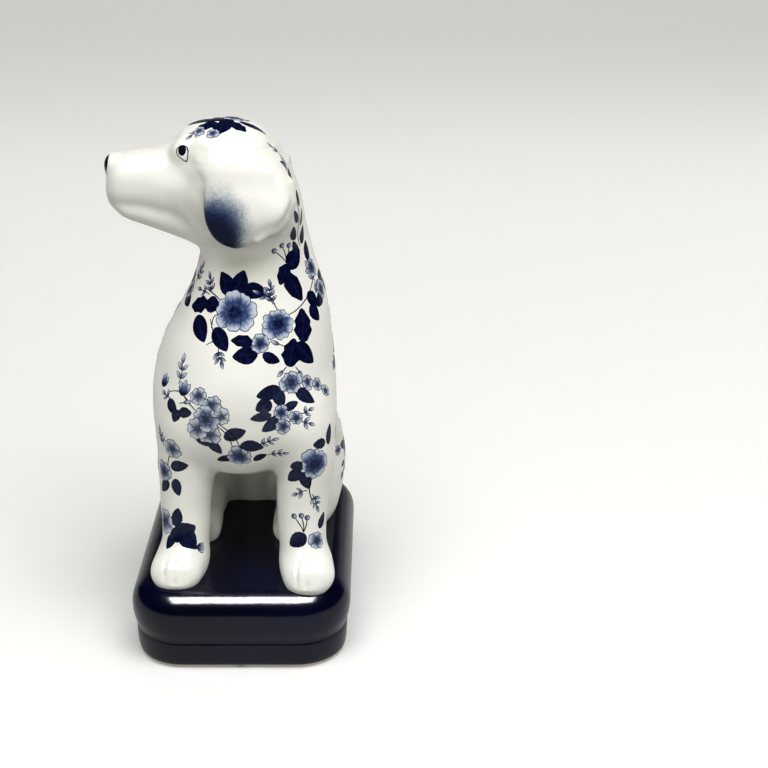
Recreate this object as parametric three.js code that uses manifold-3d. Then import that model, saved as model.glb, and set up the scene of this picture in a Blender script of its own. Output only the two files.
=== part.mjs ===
// A seated porcelain dog on a cushion-shaped plinth, one of a mirrored pair for a shelf or a mantel.
// Millimetres, +Z up. The parts are drawn about the middle of the plinth, on the surface that its pads
// stand on, and the whole is then shifted so that the origin is at the bottom centre of its bounding box.
// The dog's body faces -Y and its head is turned to its own right, which is -X. Its left is +X.
// It is built as it is made: slip-cast and press-moulded pieces that are luted together before the firing.
import * as THREE from "three";
import { mergeVertices } from "three/addons/utils/BufferGeometryUtils.js";
import Module from "manifold-3d";

const wasm = await Module();
wasm.setup();

// ---- Driving dimensions ----
const WIDTH = 90; // plinth, side to side
const DEPTH = 128; // plinth, front to back
const PAD_THICKNESS = 1.2;
const RIM = PAD_THICKNESS; // height of the plinth's foot rim
const CREASE = 12.2; // the groove between the plinth's band and its cushion
const TOP = 33; // the cushion's flat top
const CUSHION_LOW = CREASE - 0.6;
const CUSHION_ROUND = 9; // how far in from the edge the cushion's rounding starts
const CORNER = 22; // radius of the plinth's upright corners
const RECESS_DEPTH = 1.5; // the underside lies this far above the foot rim
const VENT_RADIUS = 5;
const TORSO_OPENING = { y: 41, halfWidth: 15, halfDepth: 8 }; // the oval hole in the cushion, under the torso
const PAD_RADIUS = 6.5;
const PAD_INSET = 11; // from the plinth's edge to a pad's centre
const WALL = 4.5; // slip-cast wall
const GAP = 0.3; // the luting seam left between castings
const NECK_JOINT = 166; // height where the head is luted to the torso
const HEAD_PIVOT = new THREE.Vector2(5, -4);
const HEAD_YAW = THREE.MathUtils.degToRad(5); // how far short of a full quarter turn the head stops

// ---- Body forms ----
// Each row is one oval ring: [level, centre u, centre v, half u, half v], smoothly joined to the next.

// Up the torso: [height, front edge, back edge, half width, sideways lean].
const TORSO_PROFILE = [
  [TOP, 27, 54, 25, 0],
  [44, 22, 55.5, 28, 0],
  [55, 12, 55, 30.5, 0],
  [65, -5, 53, 32.5, 0],
  [73, -24, 50, 34, 0],
  [80, -37, 47.5, 35, 0],
  [90, -44.5, 43, 36.5, 0],
  [103, -47, 37.5, 38.3, 0.3],
  [115, -45.5, 33, 37.8, 1],
  [126, -41, 29.5, 35, 2.8],
  [137, -35.5, 27, 30.8, 5.5],
  [148, -30, 25, 26.5, 7.3],
  [158, -25.5, 23, 23.3, 7.3],
  [170, -22, 20.5, 21, 7.2],
  [182, -20, 17.5, 19, 6.6],
  [198, -18, 13, 15.5, 5],
];
const TORSO = TORSO_PROFILE.map(([z, front, back, half, lean]) =>
  [z, lean, (front + back) / 2, half, (back - front) / 2]);

// Along the head, from the back of the skull to the nose: [forward, underside, topline, half width].
const HEAD_PROFILE = [
  [-17, 170, 208, 19.5],
  [-8, 167, 212.8, 21.2],
  [3, 165, 214.4, 21.8],
  [13, 164, 213.7, 21],
  [20, 163.5, 211.4, 19.2],
  [25.5, 166, 207.3, 16],
  [31, 167.8, 203.6, 13.6],
  [40, 171.2, 202.4, 12.2],
  [49, 174.8, 201.5, 11.5],
  [57, 179.5, 199.3, 9.6],
];
const HEAD = HEAD_PROFILE.map(([forward, low, high, half]) =>
  [forward, 0, (low + high) / 2, half, (high - low) / 2]);

// Down a pendant ear, in the head's frame: [height, forward, outward, half length, half thickness].
const EAR = [
  [170, 6.5, 24.5, 5.5, 3.6],
  [175, 4.5, 25, 10, 4.2],
  [181, 1.5, 24.8, 13.6, 4.5],
  [188, -0.5, 23.5, 15.4, 4.8],
  [195, -0.5, 21, 14.4, 5],
  [202, -0.3, 17.5, 11.8, 5],
  [208, 0, 13.5, 8, 4.2],
];

// Down a foreleg, with x measured from the middle line: [height, x, y, half width, half depth].
const FORELEG = [
  [36, 26.2, -36, 10.6, 13],
  [44, 25.6, -33.5, 10.2, 11.5],
  [54, 25.2, -31, 10.2, 11],
  [66, 25.3, -29, 10.4, 11.6],
  [78, 25.8, -27, 11, 13.5],
  [90, 26.2, -25, 11.4, 16],
  [102, 26, -22.5, 10.6, 16.5],
];
// Along the forepaw, heel to toe: [y, x, height of centre, half width, half height].
const FOREPAW = [
  [-25, 25.8, TOP + 5, 9, 6.2],
  [-36, 26.4, TOP + 5.6, 10.8, 7.6],
  [-47, 27, TOP + 4.6, 11.8, 6.8],
  [-57.5, 27.2, TOP + 3, 11, 5.6],
];
const LEFT_FORELEG_ADVANCE = -2.5; // the left forefoot stands this much further forward
const RIGHT_FORELEG_INSET = 1.2; // and the right foreleg this much nearer the middle line

// Up the thigh: [height, x, y, half width, half depth].
const HAUNCH = [
  [TOP, 24.5, 24, 13.5, 26],
  [44, 25.3, 25, 15.2, 27],
  [56, 26, 26.5, 15.6, 25.5],
  [68, 25.4, 27.5, 14.6, 22],
  [78, 24, 27, 12.4, 17],
  [88, 22, 25.5, 9, 11],
];
// Along the hind paw, heel to toe: [y, x, height of centre, half width, half height].
const HIND_PAW = [
  [22, 24, TOP + 6, 10, 8],
  [10, 22.6, TOP + 6.4, 10.8, 8],
  [-2, 21.8, TOP + 5.4, 10.8, 7],
  [-13, 21.4, TOP + 4, 10, 5.6],
];

// The tail's own line, from its root round the back of the right haunch, and its radius at both ends.
const TAIL_LINE = [
  [0, 52, 50],
  [-3, 56, 42.5],
  [-12, 57, 38.6],
  [-24, 55, 37.8],
  [-33, 48.5, 37.2],
];
const TAIL_RADII = [6, 2.8];

// ---- Solids ----
// A closed three.js geometry as a solid for cutting and joining.
function solid(geometry) {
  const bare = geometry.clone();
  bare.deleteAttribute("normal");
  bare.deleteAttribute("uv");
  const merged = mergeVertices(bare, 1e-4);
  const vertProperties = merged.attributes.position.array;
  const triVerts = new Uint32Array(merged.index.array);
  const made = new wasm.Manifold(new wasm.Mesh({ numProp: 3, vertProperties, triVerts }));
  if (made.volume() > 0) return made;
  return new wasm.Manifold(new wasm.Mesh({ numProp: 3, vertProperties, triVerts: triVerts.reverse() }));
}

function geometryOf(made) {
  const { numProp, numVert, vertProperties, triVerts } = made.getMesh();
  const positions = new Float32Array(numVert * 3);
  for (let i = 0; i < numVert; i++) {
    positions.set(vertProperties.subarray(i * numProp, i * numProp + 3), i * 3);
  }
  const geometry = new THREE.BufferGeometry();
  geometry.setAttribute("position", new THREE.BufferAttribute(positions, 3));
  geometry.setIndex(new THREE.BufferAttribute(triVerts, 1));
  geometry.computeVertexNormals();
  return geometry;
}

const box = (width, depth, height, x, y, z) =>
  solid(new THREE.BoxGeometry(width, depth, height).translate(x, y, z));

// The rings of an oval body: how far along it each lies, and its share of the full section there.
function ringPlan(length, domes, steps) {
  const plan = [];
  const domeSteps = 4;
  for (let i = 0; i <= domeSteps; i++) {
    const turn = (i / domeSteps) * (Math.PI / 2);
    if (domes[0] > 0) plan.push([domes[0] * (1 - Math.cos(turn)), Math.sin(turn)]);
  }
  if (!plan.length) plan.push([0, 0], [0, 1]);
  const from = domes[0];
  const to = length - domes[1];
  for (let i = 1; i < steps; i++) plan.push([from + ((to - from) * i) / steps, 1]);
  const end = [];
  for (let i = domeSteps; i >= 0; i--) {
    const turn = (i / domeSteps) * (Math.PI / 2);
    if (domes[1] > 0) end.push([length - domes[1] * (1 - Math.cos(turn)), Math.sin(turn)]);
  }
  return plan.concat(end.length ? end : [[length, 1], [length, 0]]);
}

// The curve parameter at which a curve whose x always grows reaches a value.
function parameterAt(curve, x) {
  let [low, high] = [0, 1];
  for (let i = 0; i < 40; i++) {
    const middle = (low + high) / 2;
    if (curve.getPoint(middle).x < x) low = middle;
    else high = middle;
  }
  return (low + high) / 2;
}

// A smooth body through oval rings, with round or flat ends. place() puts (level, u, v) in the part's frame.
function ovalBody(rings, place, { sides = 24, steps = 12, domes = [0, 0], grow = 0 } = {}) {
  const rows = [...rings].sort((a, b) => a[0] - b[0]);
  const spine = new THREE.CatmullRomCurve3(
    rows.map(([level, u, v]) => new THREE.Vector3(level, u, v)), false, "catmullrom");
  const halves = new THREE.CatmullRomCurve3(
    rows.map(([, , , halfU, halfV]) => new THREE.Vector3(halfU, halfV, 0)), false, "catmullrom");
  const start = rows[0][0] - (domes[0] > 0 ? grow : 0);
  const length = rows.at(-1)[0] + (domes[1] > 0 ? grow : 0) - start;
  const grown = domes.map((dome) => (dome > 0 ? dome + grow : 0));
  const plan = ringPlan(length, grown, steps);

  const geometry = new THREE.SphereGeometry(1, sides, plan.length - 1);
  const position = geometry.attributes.position;
  for (let i = 0; i < position.count; i++) {
    const ring = Math.floor(i / (sides + 1));
    const turn = ((i % (sides + 1)) % sides) * ((2 * Math.PI) / sides);
    const [along, share] = plan[ring];
    const level = start + along;
    const t = parameterAt(spine, level);
    const centre = spine.getPoint(t);
    const half = halves.getPoint(t);
    const u = centre.y + share * (half.x + grow) * Math.cos(turn);
    const v = centre.z + share * (half.y + grow) * Math.sin(turn);
    position.setXYZ(i, ...place(level, u, v));
  }
  return solid(geometry);
}

const upright = (z, x, y) => [x, y, z];
const alongDepth = (y, x, z) => [x, y, z];

// The head's frame: forward along the muzzle, outward to the dog's left, and up.
const FORWARD = new THREE.Vector2(-Math.cos(HEAD_YAW), -Math.sin(HEAD_YAW));
const OUTWARD = new THREE.Vector2(Math.sin(HEAD_YAW), -Math.cos(HEAD_YAW));
const inHead = (forward, outward, z) => [
  HEAD_PIVOT.x + FORWARD.x * forward + OUTWARD.x * outward,
  HEAD_PIVOT.y + FORWARD.y * forward + OUTWARD.y * outward,
  z,
];

const mirrored = (rows, side, index = 1) =>
  rows.map((row) => row.map((value, i) => (i === index ? side * value : value)));
const shifted = (rows, index, by) =>
  rows.map((row) => row.map((value, i) => (i === index ? value + by : value)));

// ---- Plinth ----
function roundedOutline(inset) {
  const halfWidth = WIDTH / 2 - inset;
  const halfDepth = DEPTH / 2 - inset;
  const radius = CORNER - inset;
  const shape = new THREE.Shape();
  shape.absarc(halfWidth - radius, -halfDepth + radius, radius, -Math.PI / 2, 0);
  shape.absarc(halfWidth - radius, halfDepth - radius, radius, 0, Math.PI / 2);
  shape.absarc(-halfWidth + radius, halfDepth - radius, radius, Math.PI / 2, Math.PI);
  shape.absarc(-halfWidth + radius, -halfDepth + radius, radius, Math.PI, 1.5 * Math.PI);
  return shape;
}

// A rounded slab between two heights, its edges rounded by the given height and width.
function slab(low, high, inset, roundHeight, roundWidth, curveSegments, bevelSegments) {
  const extruded = new THREE.ExtrudeGeometry(roundedOutline(inset + roundWidth), {
    depth: high - low - 2 * roundHeight,
    bevelEnabled: true,
    bevelThickness: roundHeight,
    bevelSize: roundWidth,
    bevelSegments,
    curveSegments,
  });
  return solid(extruded.translate(0, 0, low + roundHeight));
}

const cushion = (grow = 0) =>
  slab(CUSHION_LOW - grow, TOP + grow, -grow, (TOP - CUSHION_LOW) / 2 + grow - 0.2, CUSHION_ROUND, 6, 6);

function plinthCasting() {
  const band = slab(RIM, CREASE + 4, 2.2, 3, 2.5, 6, 3);
  const hollow = slab(RIM + RECESS_DEPTH + WALL, TOP - WALL, WALL + 1.5, 4, 4, 3, 2);
  const recess = slab(RIM - 4, RIM + RECESS_DEPTH, 8, 1, 1, 4, 1);
  const vent = new THREE.CylinderGeometry(VENT_RADIUS, VENT_RADIUS, 30, 20);
  const opening = new THREE.CylinderGeometry(1, 1, 20, 24);
  opening.rotateX(Math.PI / 2);
  opening.scale(TORSO_OPENING.halfWidth, TORSO_OPENING.halfDepth, 1);
  return band
    .add(cushion())
    .subtract(hollow)
    .subtract(recess)
    .subtract(solid(vent.rotateX(Math.PI / 2).translate(0, 0, 4)))
    .subtract(solid(opening.translate(0, TORSO_OPENING.y, TOP)));
}

// ---- Castings ----
const SKULL_DOMES = [17, 6];

function headOuter(grow = 0) {
  const skull = ovalBody(HEAD, inHead, { sides: 22, steps: 11, domes: SKULL_DOMES, grow });
  const neck = torsoOuter(grow);
  const above = box(120, 120, 80, 0, 0, NECK_JOINT + GAP - grow + 40);
  return skull.add(neck.intersect(above));
}

function headCasting() {
  const hollow = ovalBody(HEAD, inHead, { sides: 12, steps: 6, domes: SKULL_DOMES, grow: -WALL });
  return headOuter().subtract(hollow).subtract(bodyHollow());
}

function torsoOuter(grow = 0) {
  return ovalBody(TORSO, upright, { sides: 24, steps: 20, domes: [0, 10], grow });
}

const bodyHollow = () => ovalBody(TORSO, upright, { sides: 12, steps: 10, domes: [0, 10], grow: -WALL });

function torsoCasting() {
  const kept = box(160, 160, NECK_JOINT - TOP - GAP, 0, 0, (NECK_JOINT + TOP + GAP) / 2);
  return torsoOuter().intersect(kept).subtract(bodyHollow()).subtract(headOuter(GAP));
}

const ear = (side) =>
  ovalBody(mirrored(EAR, side, 2), (z, forward, outward) => inHead(forward, outward, z), {
    sides: 16,
    steps: 6,
    domes: [5, 6],
  }).subtract(headOuter(GAP)).subtract(torsoOuter(GAP));

// What stands on the plinth is cut to the cushion, with the seam's gap, and follows it over the edge.
const abovePlinth = (made) => made.subtract(cushion(GAP));

function foreleg(side) {
  const offset = side > 0 ? { x: 0, y: LEFT_FORELEG_ADVANCE } : { x: RIGHT_FORELEG_INSET, y: 0 };
  const rows = (list, xIndex, yIndex) =>
    shifted(shifted(mirrored(list, side), xIndex, offset.x), yIndex, offset.y);
  const leg = ovalBody(rows(FORELEG, 1, 2), upright, { sides: 18, steps: 7, domes: [4, 8] });
  const paw = ovalBody(rows(FOREPAW, 1, 0), alongDepth, { sides: 18, steps: 4, domes: [7, 9] });
  return abovePlinth(leg.add(paw)).subtract(torsoOuter(GAP));
}

function haunch(side, grow = 0) {
  const thigh = ovalBody(mirrored(HAUNCH, side), upright, { sides: 20, steps: 7, domes: [0, 12], grow });
  return grow ? thigh : abovePlinth(thigh).subtract(torsoOuter(GAP));
}

function hindPaw(side) {
  const paw = ovalBody(mirrored(HIND_PAW, side), alongDepth, { sides: 16, steps: 5, domes: [6, 9] });
  return abovePlinth(paw).subtract(haunch(side, GAP)).subtract(torsoOuter(GAP));
}

function tail() {
  const line = new THREE.CatmullRomCurve3(TAIL_LINE.map((point) => new THREE.Vector3(...point)));
  const steps = 12;
  const sides = 10;
  const geometry = new THREE.SphereGeometry(1, sides, steps);
  const position = geometry.attributes.position;
  const frames = line.computeFrenetFrames(steps, false);
  for (let i = 0; i < position.count; i++) {
    const ring = Math.floor(i / (sides + 1));
    const turn = ((i % (sides + 1)) % sides) * ((2 * Math.PI) / sides);
    const share = ring / steps;
    const roundEnds = Math.min(1, Math.sqrt(Math.max(0, 1 - (2 * share - 1) ** 8)));
    const radius = THREE.MathUtils.lerp(...TAIL_RADII, share) * roundEnds;
    const point = line.getPointAt(share)
      .addScaledVector(frames.normals[ring], radius * Math.cos(turn))
      .addScaledVector(frames.binormals[ring], radius * Math.sin(turn));
    position.setXYZ(i, point.x, point.y, point.z);
  }
  return abovePlinth(solid(geometry)).subtract(haunch(-1, GAP)).subtract(torsoOuter(GAP));
}

// ---- Felt pads ----
const PADS = {
  felt_pad_front: [0, -DEPTH / 2 + PAD_INSET],
  felt_pad_back: [0, DEPTH / 2 - PAD_INSET],
  felt_pad_left: [WIDTH / 2 - PAD_INSET, 0],
  felt_pad_right: [-WIDTH / 2 + PAD_INSET, 0],
};

const feltPad = () =>
  solid(new THREE.CylinderGeometry(PAD_RADIUS, PAD_RADIUS, PAD_THICKNESS, 20).rotateX(Math.PI / 2));

// ---- Assembly ----
const porcelain = new THREE.MeshStandardMaterial({ color: 0xf1f1ea, roughness: 0.12, metalness: 0 });
const cobaltGlaze = new THREE.MeshStandardMaterial({ color: 0x070b2e, roughness: 0.1, metalness: 0 });
const greenFelt = new THREE.MeshStandardMaterial({ color: 0x1d4a26, roughness: 1, metalness: 0 });

const dog = new THREE.Group();
const figurine = new THREE.Group();
figurine.add(dog);

function place(name, made, material, position = [0, 0, 0]) {
  const mesh = new THREE.Mesh(geometryOf(made), material);
  mesh.name = name;
  mesh.position.set(...position);
  dog.add(mesh);
}

place("plinth_casting", plinthCasting(), cobaltGlaze);
place("torso_casting", torsoCasting(), porcelain);
place("head_casting", headCasting(), porcelain);
for (const [name, side] of [["left", 1], ["right", -1]]) {
  place(`${name}_ear`, ear(side), porcelain);
  place(`${name}_foreleg`, foreleg(side), porcelain);
  place(`${name}_haunch`, haunch(side), porcelain);
  place(`${name}_hind_paw`, hindPaw(side), porcelain);
}
place("tail", tail(), porcelain);
for (const [name, [x, y]] of Object.entries(PADS)) {
  place(name, feltPad(), greenFelt, [x, y, PAD_THICKNESS / 2]);
}

const bounds = new THREE.Box3().setFromObject(dog);
const middle = bounds.getCenter(new THREE.Vector3());
dog.position.set(-middle.x, -middle.y, -bounds.min.z);

export default figurine;
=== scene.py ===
"""A seated porcelain dog in blue and white on a cobalt cushion plinth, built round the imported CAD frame.

The dog's skin is one smooth solid, described as a distance in millimetres and made into a mesh once, so
that the glaze runs unbroken over the luting seams. The mesh is then divided between the castings that the
frame names. Lengths are in millimetres about the middle of the plinth, with z up from the ground, until a
mesh is made. The dog faces -y, and its head is turned towards -x. Where a side is asked for, 1 is the dog's
left and -1 its right.
"""
import math

import bpy
import numpy as np
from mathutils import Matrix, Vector


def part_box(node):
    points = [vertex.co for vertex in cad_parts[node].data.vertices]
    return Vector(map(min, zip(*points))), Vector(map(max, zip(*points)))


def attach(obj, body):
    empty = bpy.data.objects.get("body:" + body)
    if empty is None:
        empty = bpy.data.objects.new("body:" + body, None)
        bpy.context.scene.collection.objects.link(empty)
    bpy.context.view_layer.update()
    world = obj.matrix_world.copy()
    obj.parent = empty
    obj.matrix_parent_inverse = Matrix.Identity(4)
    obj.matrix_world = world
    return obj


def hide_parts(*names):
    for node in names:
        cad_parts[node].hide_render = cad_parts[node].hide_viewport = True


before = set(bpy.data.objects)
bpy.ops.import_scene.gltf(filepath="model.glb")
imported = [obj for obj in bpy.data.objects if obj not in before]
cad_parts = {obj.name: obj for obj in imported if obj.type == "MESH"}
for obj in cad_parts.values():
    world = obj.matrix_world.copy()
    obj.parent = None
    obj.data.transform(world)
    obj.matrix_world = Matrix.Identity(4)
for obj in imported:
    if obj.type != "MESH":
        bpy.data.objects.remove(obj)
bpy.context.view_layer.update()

# ---- The frame, in millimetres ----
MM = 0.001
PLINTH_LOW, PLINTH_HIGH = (np.array(corner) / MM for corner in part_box("plinth_casting"))
MIDDLE = np.array([*(PLINTH_LOW + PLINTH_HIGH)[:2] / 2, 0.0])  # the plinth's middle, on the ground
HALF_WIDTH, HALF_DEPTH = (PLINTH_HIGH - PLINTH_LOW)[:2] / 2
RIM = PLINTH_LOW[2]
TOP = PLINTH_HIGH[2]
CREASE = 12.2  # the height of the dip between the plinth's band and its cushion
CORNER = 22.0  # the radius of the plinth's corners in plan
SIDE_NAMES = {1: "left", -1: "right"}

# ---- Smooth tables and distances ----
def through(rows, per_span=14):
    """A dense table through given rows, a Catmull-Rom curve for every column along the first."""
    rows = np.array(sorted(rows), float)
    padded = np.vstack([2 * rows[0] - rows[1], rows, 2 * rows[-1] - rows[-2]])
    t = np.linspace(0, 1, per_span, endpoint=False)[:, None]
    spans = []
    for a, b, c, d in zip(padded, padded[1:], padded[2:], padded[3:]):
        spans.append(b + 0.5 * t * (c - a + t * (2 * a - 5 * b + 4 * c - d + t * (3 * (b - c) + d - a))))
    return np.vstack(spans + [rows[-1:]])


def mix(a, b, t):
    """A value between a and b, at a share t of the way."""
    return a + (b - a) * t


def step(low, high, x):
    """A smooth rise from 0 at low to 1 at high."""
    t = np.clip((x - low) / (high - low), 0, 1)
    return t * t * (3 - 2 * t)


def join(a, b, k):
    """The union of two distances, with a fillet about k wide."""
    h = np.maximum(k - np.abs(a - b), 0)
    return np.minimum(a, b) - h * h / (4 * k)


def cut(a, b, k):
    """The distance a with b taken away, its edge rounded over k."""
    return -join(-a, b, k)


def ellipsoid(p, centre, radii, turn=None):
    q = p - np.array(centre, float)
    if turn is not None:
        q = q @ turn
    radii = np.array(radii, float)
    k0 = np.linalg.norm(q / radii, axis=-1)
    k1 = np.linalg.norm(q / radii**2, axis=-1)
    return k0 * (k0 - 1) / np.maximum(k1, 1e-6)


def loft(table, level, u, v, ends=None, square=2.0):
    """Oval rings [level, centre u, centre v, half u, half v] as one body, its ends rounded if asked.

    square is the ovals' exponent: 2 is an ellipse, and more is boxier.
    """
    centre_u, centre_v, half_u, half_v = (np.interp(level, table[:, 0], column) for column in table[:, 1:].T)
    x, y = (u - centre_u) / half_u, (v - centre_v) / half_v
    k0 = (np.abs(x) ** square + np.abs(y) ** square) ** (1 / square) if square != 2 else np.hypot(x, y)
    k1 = np.hypot(x / half_u, y / half_v)
    rate = np.abs(np.gradient(table[:, 1:], table[:, 0], axis=0))
    slope = np.interp(level, table[:, 0], np.maximum(rate[:, 0] + rate[:, 2], rate[:, 1] + rate[:, 3]))
    d = k0 * (k0 - 1) / np.maximum(k1, 1e-6) / np.sqrt(1 + slope**2)
    if ends:
        d = cut(d, level - table[0, 0], ends)
        d = cut(d, table[-1, 0] - level, ends)
    return d


def rod(p, a, b, radius_a, radius_b):
    """The distance to a round bar between two points, of one radius at each."""
    a, b = np.array(a, float), np.array(b, float)
    t = np.clip((p - a) @ (b - a) / ((b - a) @ (b - a)), 0, 1)
    return np.linalg.norm(p - a - t[..., None] * (b - a), axis=-1) - mix(radius_a, radius_b, t)


def tube(p, points, radii):
    d = rod(p, points[0], points[1], radii[0], radii[1])
    for i in range(1, len(points) - 1):
        d = np.minimum(d, rod(p, points[i], points[i + 1], radii[i], radii[i + 1]))
    return d


# ---- The plinth's form ----
CUSHION_LOW = CREASE - 0.6
ROUND_WIDTH = 9.0  # how far in from the widest outline the cushion's rounded edge reaches
ROUND_HEIGHT = (TOP - CUSHION_LOW) / 2
CROWN = 0.35  # how far the cushion's top swells
CROWN_WIDTH = 25  # over what distance in from the rounded edge
SUNK = 0.8  # how deep the dog stands in the cushion


def outline_distance(x, y):
    """How far a point in plan lies outside the plinth's widest outline."""
    qx = np.abs(x) - (HALF_WIDTH - CORNER)
    qy = np.abs(y) - (HALF_DEPTH - CORNER)
    return np.hypot(np.maximum(qx, 0), np.maximum(qy, 0)) + np.minimum(np.maximum(qx, qy), 0) - CORNER


def cushion_height(x, y):
    inset = -outline_distance(x, y)
    over = np.clip(1 - inset / ROUND_WIDTH, 0, 1)
    crown = CROWN * step(ROUND_WIDTH, ROUND_WIDTH + CROWN_WIDTH, inset)
    return TOP - ROUND_HEIGHT * (1 - np.sqrt(1 - over**2)) + crown


# ---- The dog's form ----
# Up the torso: [height, front edge, back edge, half width, sideways lean].
TORSO_PROFILE = [
    (TOP - 4, 28, 54, 25, 0), (TOP, 27, 54, 25, 0), (44, 22, 55.5, 28, 0), (55, 12, 55, 30.5, 0),
    (65, -5, 53, 32.5, 0), (73, -24, 50, 34, 0), (80, -37, 47.5, 33, 1), (90, -44.5, 43, 33.4, 1.9),
    (103, -47, 37.5, 35.7, 1.6), (115, -45.5, 33, 36.4, 1.9), (126, -41, 29.5, 34.4, 3.2),
    (137, -35.5, 27, 30.8, 5.5), (148, -30, 25, 26.5, 7.3), (158, -25.5, 23, 23.3, 7.3),
    (170, -22, 20.5, 20.7, 7.2), (182, -20, 17.5, 18.2, 6.6), (198, -18, 13, 14.6, 5),
]
TORSO = through([(z, lean, (front + back) / 2, half, (back - front) / 2)
                 for z, front, back, half, lean in TORSO_PROFILE])

# Along the head, from the back of the skull to the nose: [forward, underside, topline, half width].
SKULL_PROFILE = [
    (-19, 170, 193, 16.5), (-8, 168, 207, 20.2), (3, 168, 213.2, 21.6), (12, 168, 213.8, 20.6),
    (19, 170, 213, 19.2), (24.5, 174, 210.8, 17.2), (28.5, 178, 206.6, 15), (32, 181, 203, 13),
    (36, 181, 201, 11.5),
]
MUZZLE_PROFILE = [
    (10, 178, 205, 14), (20, 177.2, 204.2, 15), (31, 176.6, 203.2, 14.2), (40, 179.2, 202.4, 13.2),
    (49, 180.6, 201.6, 12.6), (56, 180.8, 200.6, 12), (60, 181, 200, 11.4),
]
JAW_PROFILE = [
    (8, 162, 186, 14), (18, 163, 186, 13.8), (26, 166.6, 186, 12.6), (34, 170, 186, 11.4),
    (44, 174, 187, 10.8), (51, 176.6, 187, 10), (57, 178.8, 188, 9),
]


def head_table(profile):
    return through([(forward, 0, (low + high) / 2, half, (high - low) / 2)
                    for forward, low, high, half in profile])


SKULL, MUZZLE, JAW = (head_table(profile) for profile in (SKULL_PROFILE, MUZZLE_PROFILE, JAW_PROFILE))
HEAD_PIVOT = np.array([5.0, -4.0])
HEAD_YAW = math.radians(5)  # how far the muzzle turns forward of straight sideways

# Down a pendant ear, in the head's frame: [height, forward, outward, half length, half thickness].
EAR = through([
    (168, 4.6, 24.8, 3, 2.2), (171, 5, 25.4, 6.4, 3.2), (175, 4.6, 26, 10.2, 3.8),
    (181, 2.8, 26, 14.2, 4.4), (188, 1.2, 24.8, 16, 4.6), (195, 0.6, 22.3, 14.2, 4.6),
    (201, 2.2, 18.6, 10, 4.4), (206, 4, 14, 5, 3.6),
])

# Up a leg or haunch: [height, outward, back, half width, half depth].
FORELEG = through([
    (TOP - 4, 27.2, -38, 9.6, 13), (36, 26.6, -36.5, 9.6, 12.6), (44, 25.7, -33.5, 9.6, 11.5),
    (54, 25.3, -31, 10, 11), (66, 25.8, -29, 10.7, 11.6), (78, 26.8, -27, 12, 13.5),
    (90, 26.8, -25, 12, 16), (104, 25.6, -22.5, 10.6, 16.5),
])
# Along a paw from its toes: [back, outward, height, half width, half height].
FOREPAW = through([
    (-56, 28, TOP + 1.5, 8, 6), (-51, 28.4, TOP + 3, 9.8, 7), (-45, 28.4, TOP + 4.4, 10.5, 7.3),
    (-37, 27.4, TOP + 4.8, 9.9, 7.4), (-28, 26.4, TOP + 4.4, 8.8, 7.2),
])
LEFT_FORELEG_ADVANCE = -3.5  # the left foreleg stands this much further forward
HAUNCH = through([
    (TOP - 4, 24.5, 24, 13.5, 26), (TOP, 24.5, 24, 13.5, 26), (44, 25.3, 25, 15.2, 27),
    (56, 26, 26.5, 15.6, 25.5), (66, 25.4, 27.5, 14.8, 23), (75, 23.2, 27.5, 13.6, 19.5),
    (84, 19.6, 26, 12.2, 16), (94, 14.6, 23, 10.8, 13), (104, 9, 19, 10, 11),
])
HIND_PAW = through([
    (-16, 21.2, TOP + 1.5, 8, 5.5), (-10, 21.4, TOP + 3.2, 10, 6.6), (-2, 21.8, TOP + 4.4, 10.8, 7.8),
    (10, 22.6, TOP + 5.4, 10.8, 8.6), (22, 24, TOP + 6, 10, 8.6),
])
# Along the tail: [step, x, y, z, radius].
TAIL = through([
    (0, 0, 50, 52, 7), (1, -1, 55, 43, 6), (2, -10, 57.5, 38.6, 5.4), (3, -23, 56, 37.4, 4.8),
    (4, -32, 50.5, 36.8, 4.2), (5, -36.5, 43, 36.2, 2.8),
], 2)


def in_head(p):
    """A point as (forward along the muzzle, out to the dog's left, up)."""
    x, y = p[..., 0] - HEAD_PIVOT[0], p[..., 1] - HEAD_PIVOT[1]
    c, s = math.cos(HEAD_YAW), math.sin(HEAD_YAW)
    return np.stack([-c * x - s * y, s * x - c * y, p[..., 2]], -1)


def from_head(forward, outward, z):
    c, s = math.cos(HEAD_YAW), math.sin(HEAD_YAW)
    return np.array([HEAD_PIVOT[0] - c * forward + s * outward, HEAD_PIVOT[1] - s * forward - c * outward, z])


def head_distance(p):
    h = in_head(p)
    f, side, z = h[..., 0], np.abs(h[..., 1]), h[..., 2]
    m = np.stack([f, side, z], -1)
    d = loft(SKULL, f, side, z, ends=7, square=2.3)
    muzzle = np.maximum(loft(MUZZLE, f, side, z, square=2.5), 10 - f)
    muzzle = cut(muzzle, 55.8 - 0.12 * (z - 190) - f, 8)
    d = join(d, muzzle, 4)
    cheek = ellipsoid(m, (11, 10, 187), (14, 10.5, 13))
    d = join(d, cheek, 8)
    jaw = np.maximum(loft(JAW, f, side, z, square=2.2), 8 - f)
    jaw = cut(jaw, 54 + 0.25 * (z - 182) - f, 6)
    d = join(d, jaw, 1.8)
    ruff = ellipsoid(m, (2, 9, 178), (21, 16.5, 14.5))
    d = join(d, ruff, 5)
    nose = ellipsoid(m, (52.6, 0, 197.2), (3.6, 6, 4.2))
    d = join(d, nose, 2.5)
    hollow = ellipsoid(m, (31, 18.4, 202), (7, 4.4, 6))
    d = cut(d, hollow, 7)
    eyeball = ellipsoid(m, (24.6, 9.2, 204), (4.4, 4.2, 4.6))
    return join(d, eyeball, 3.0)


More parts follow.
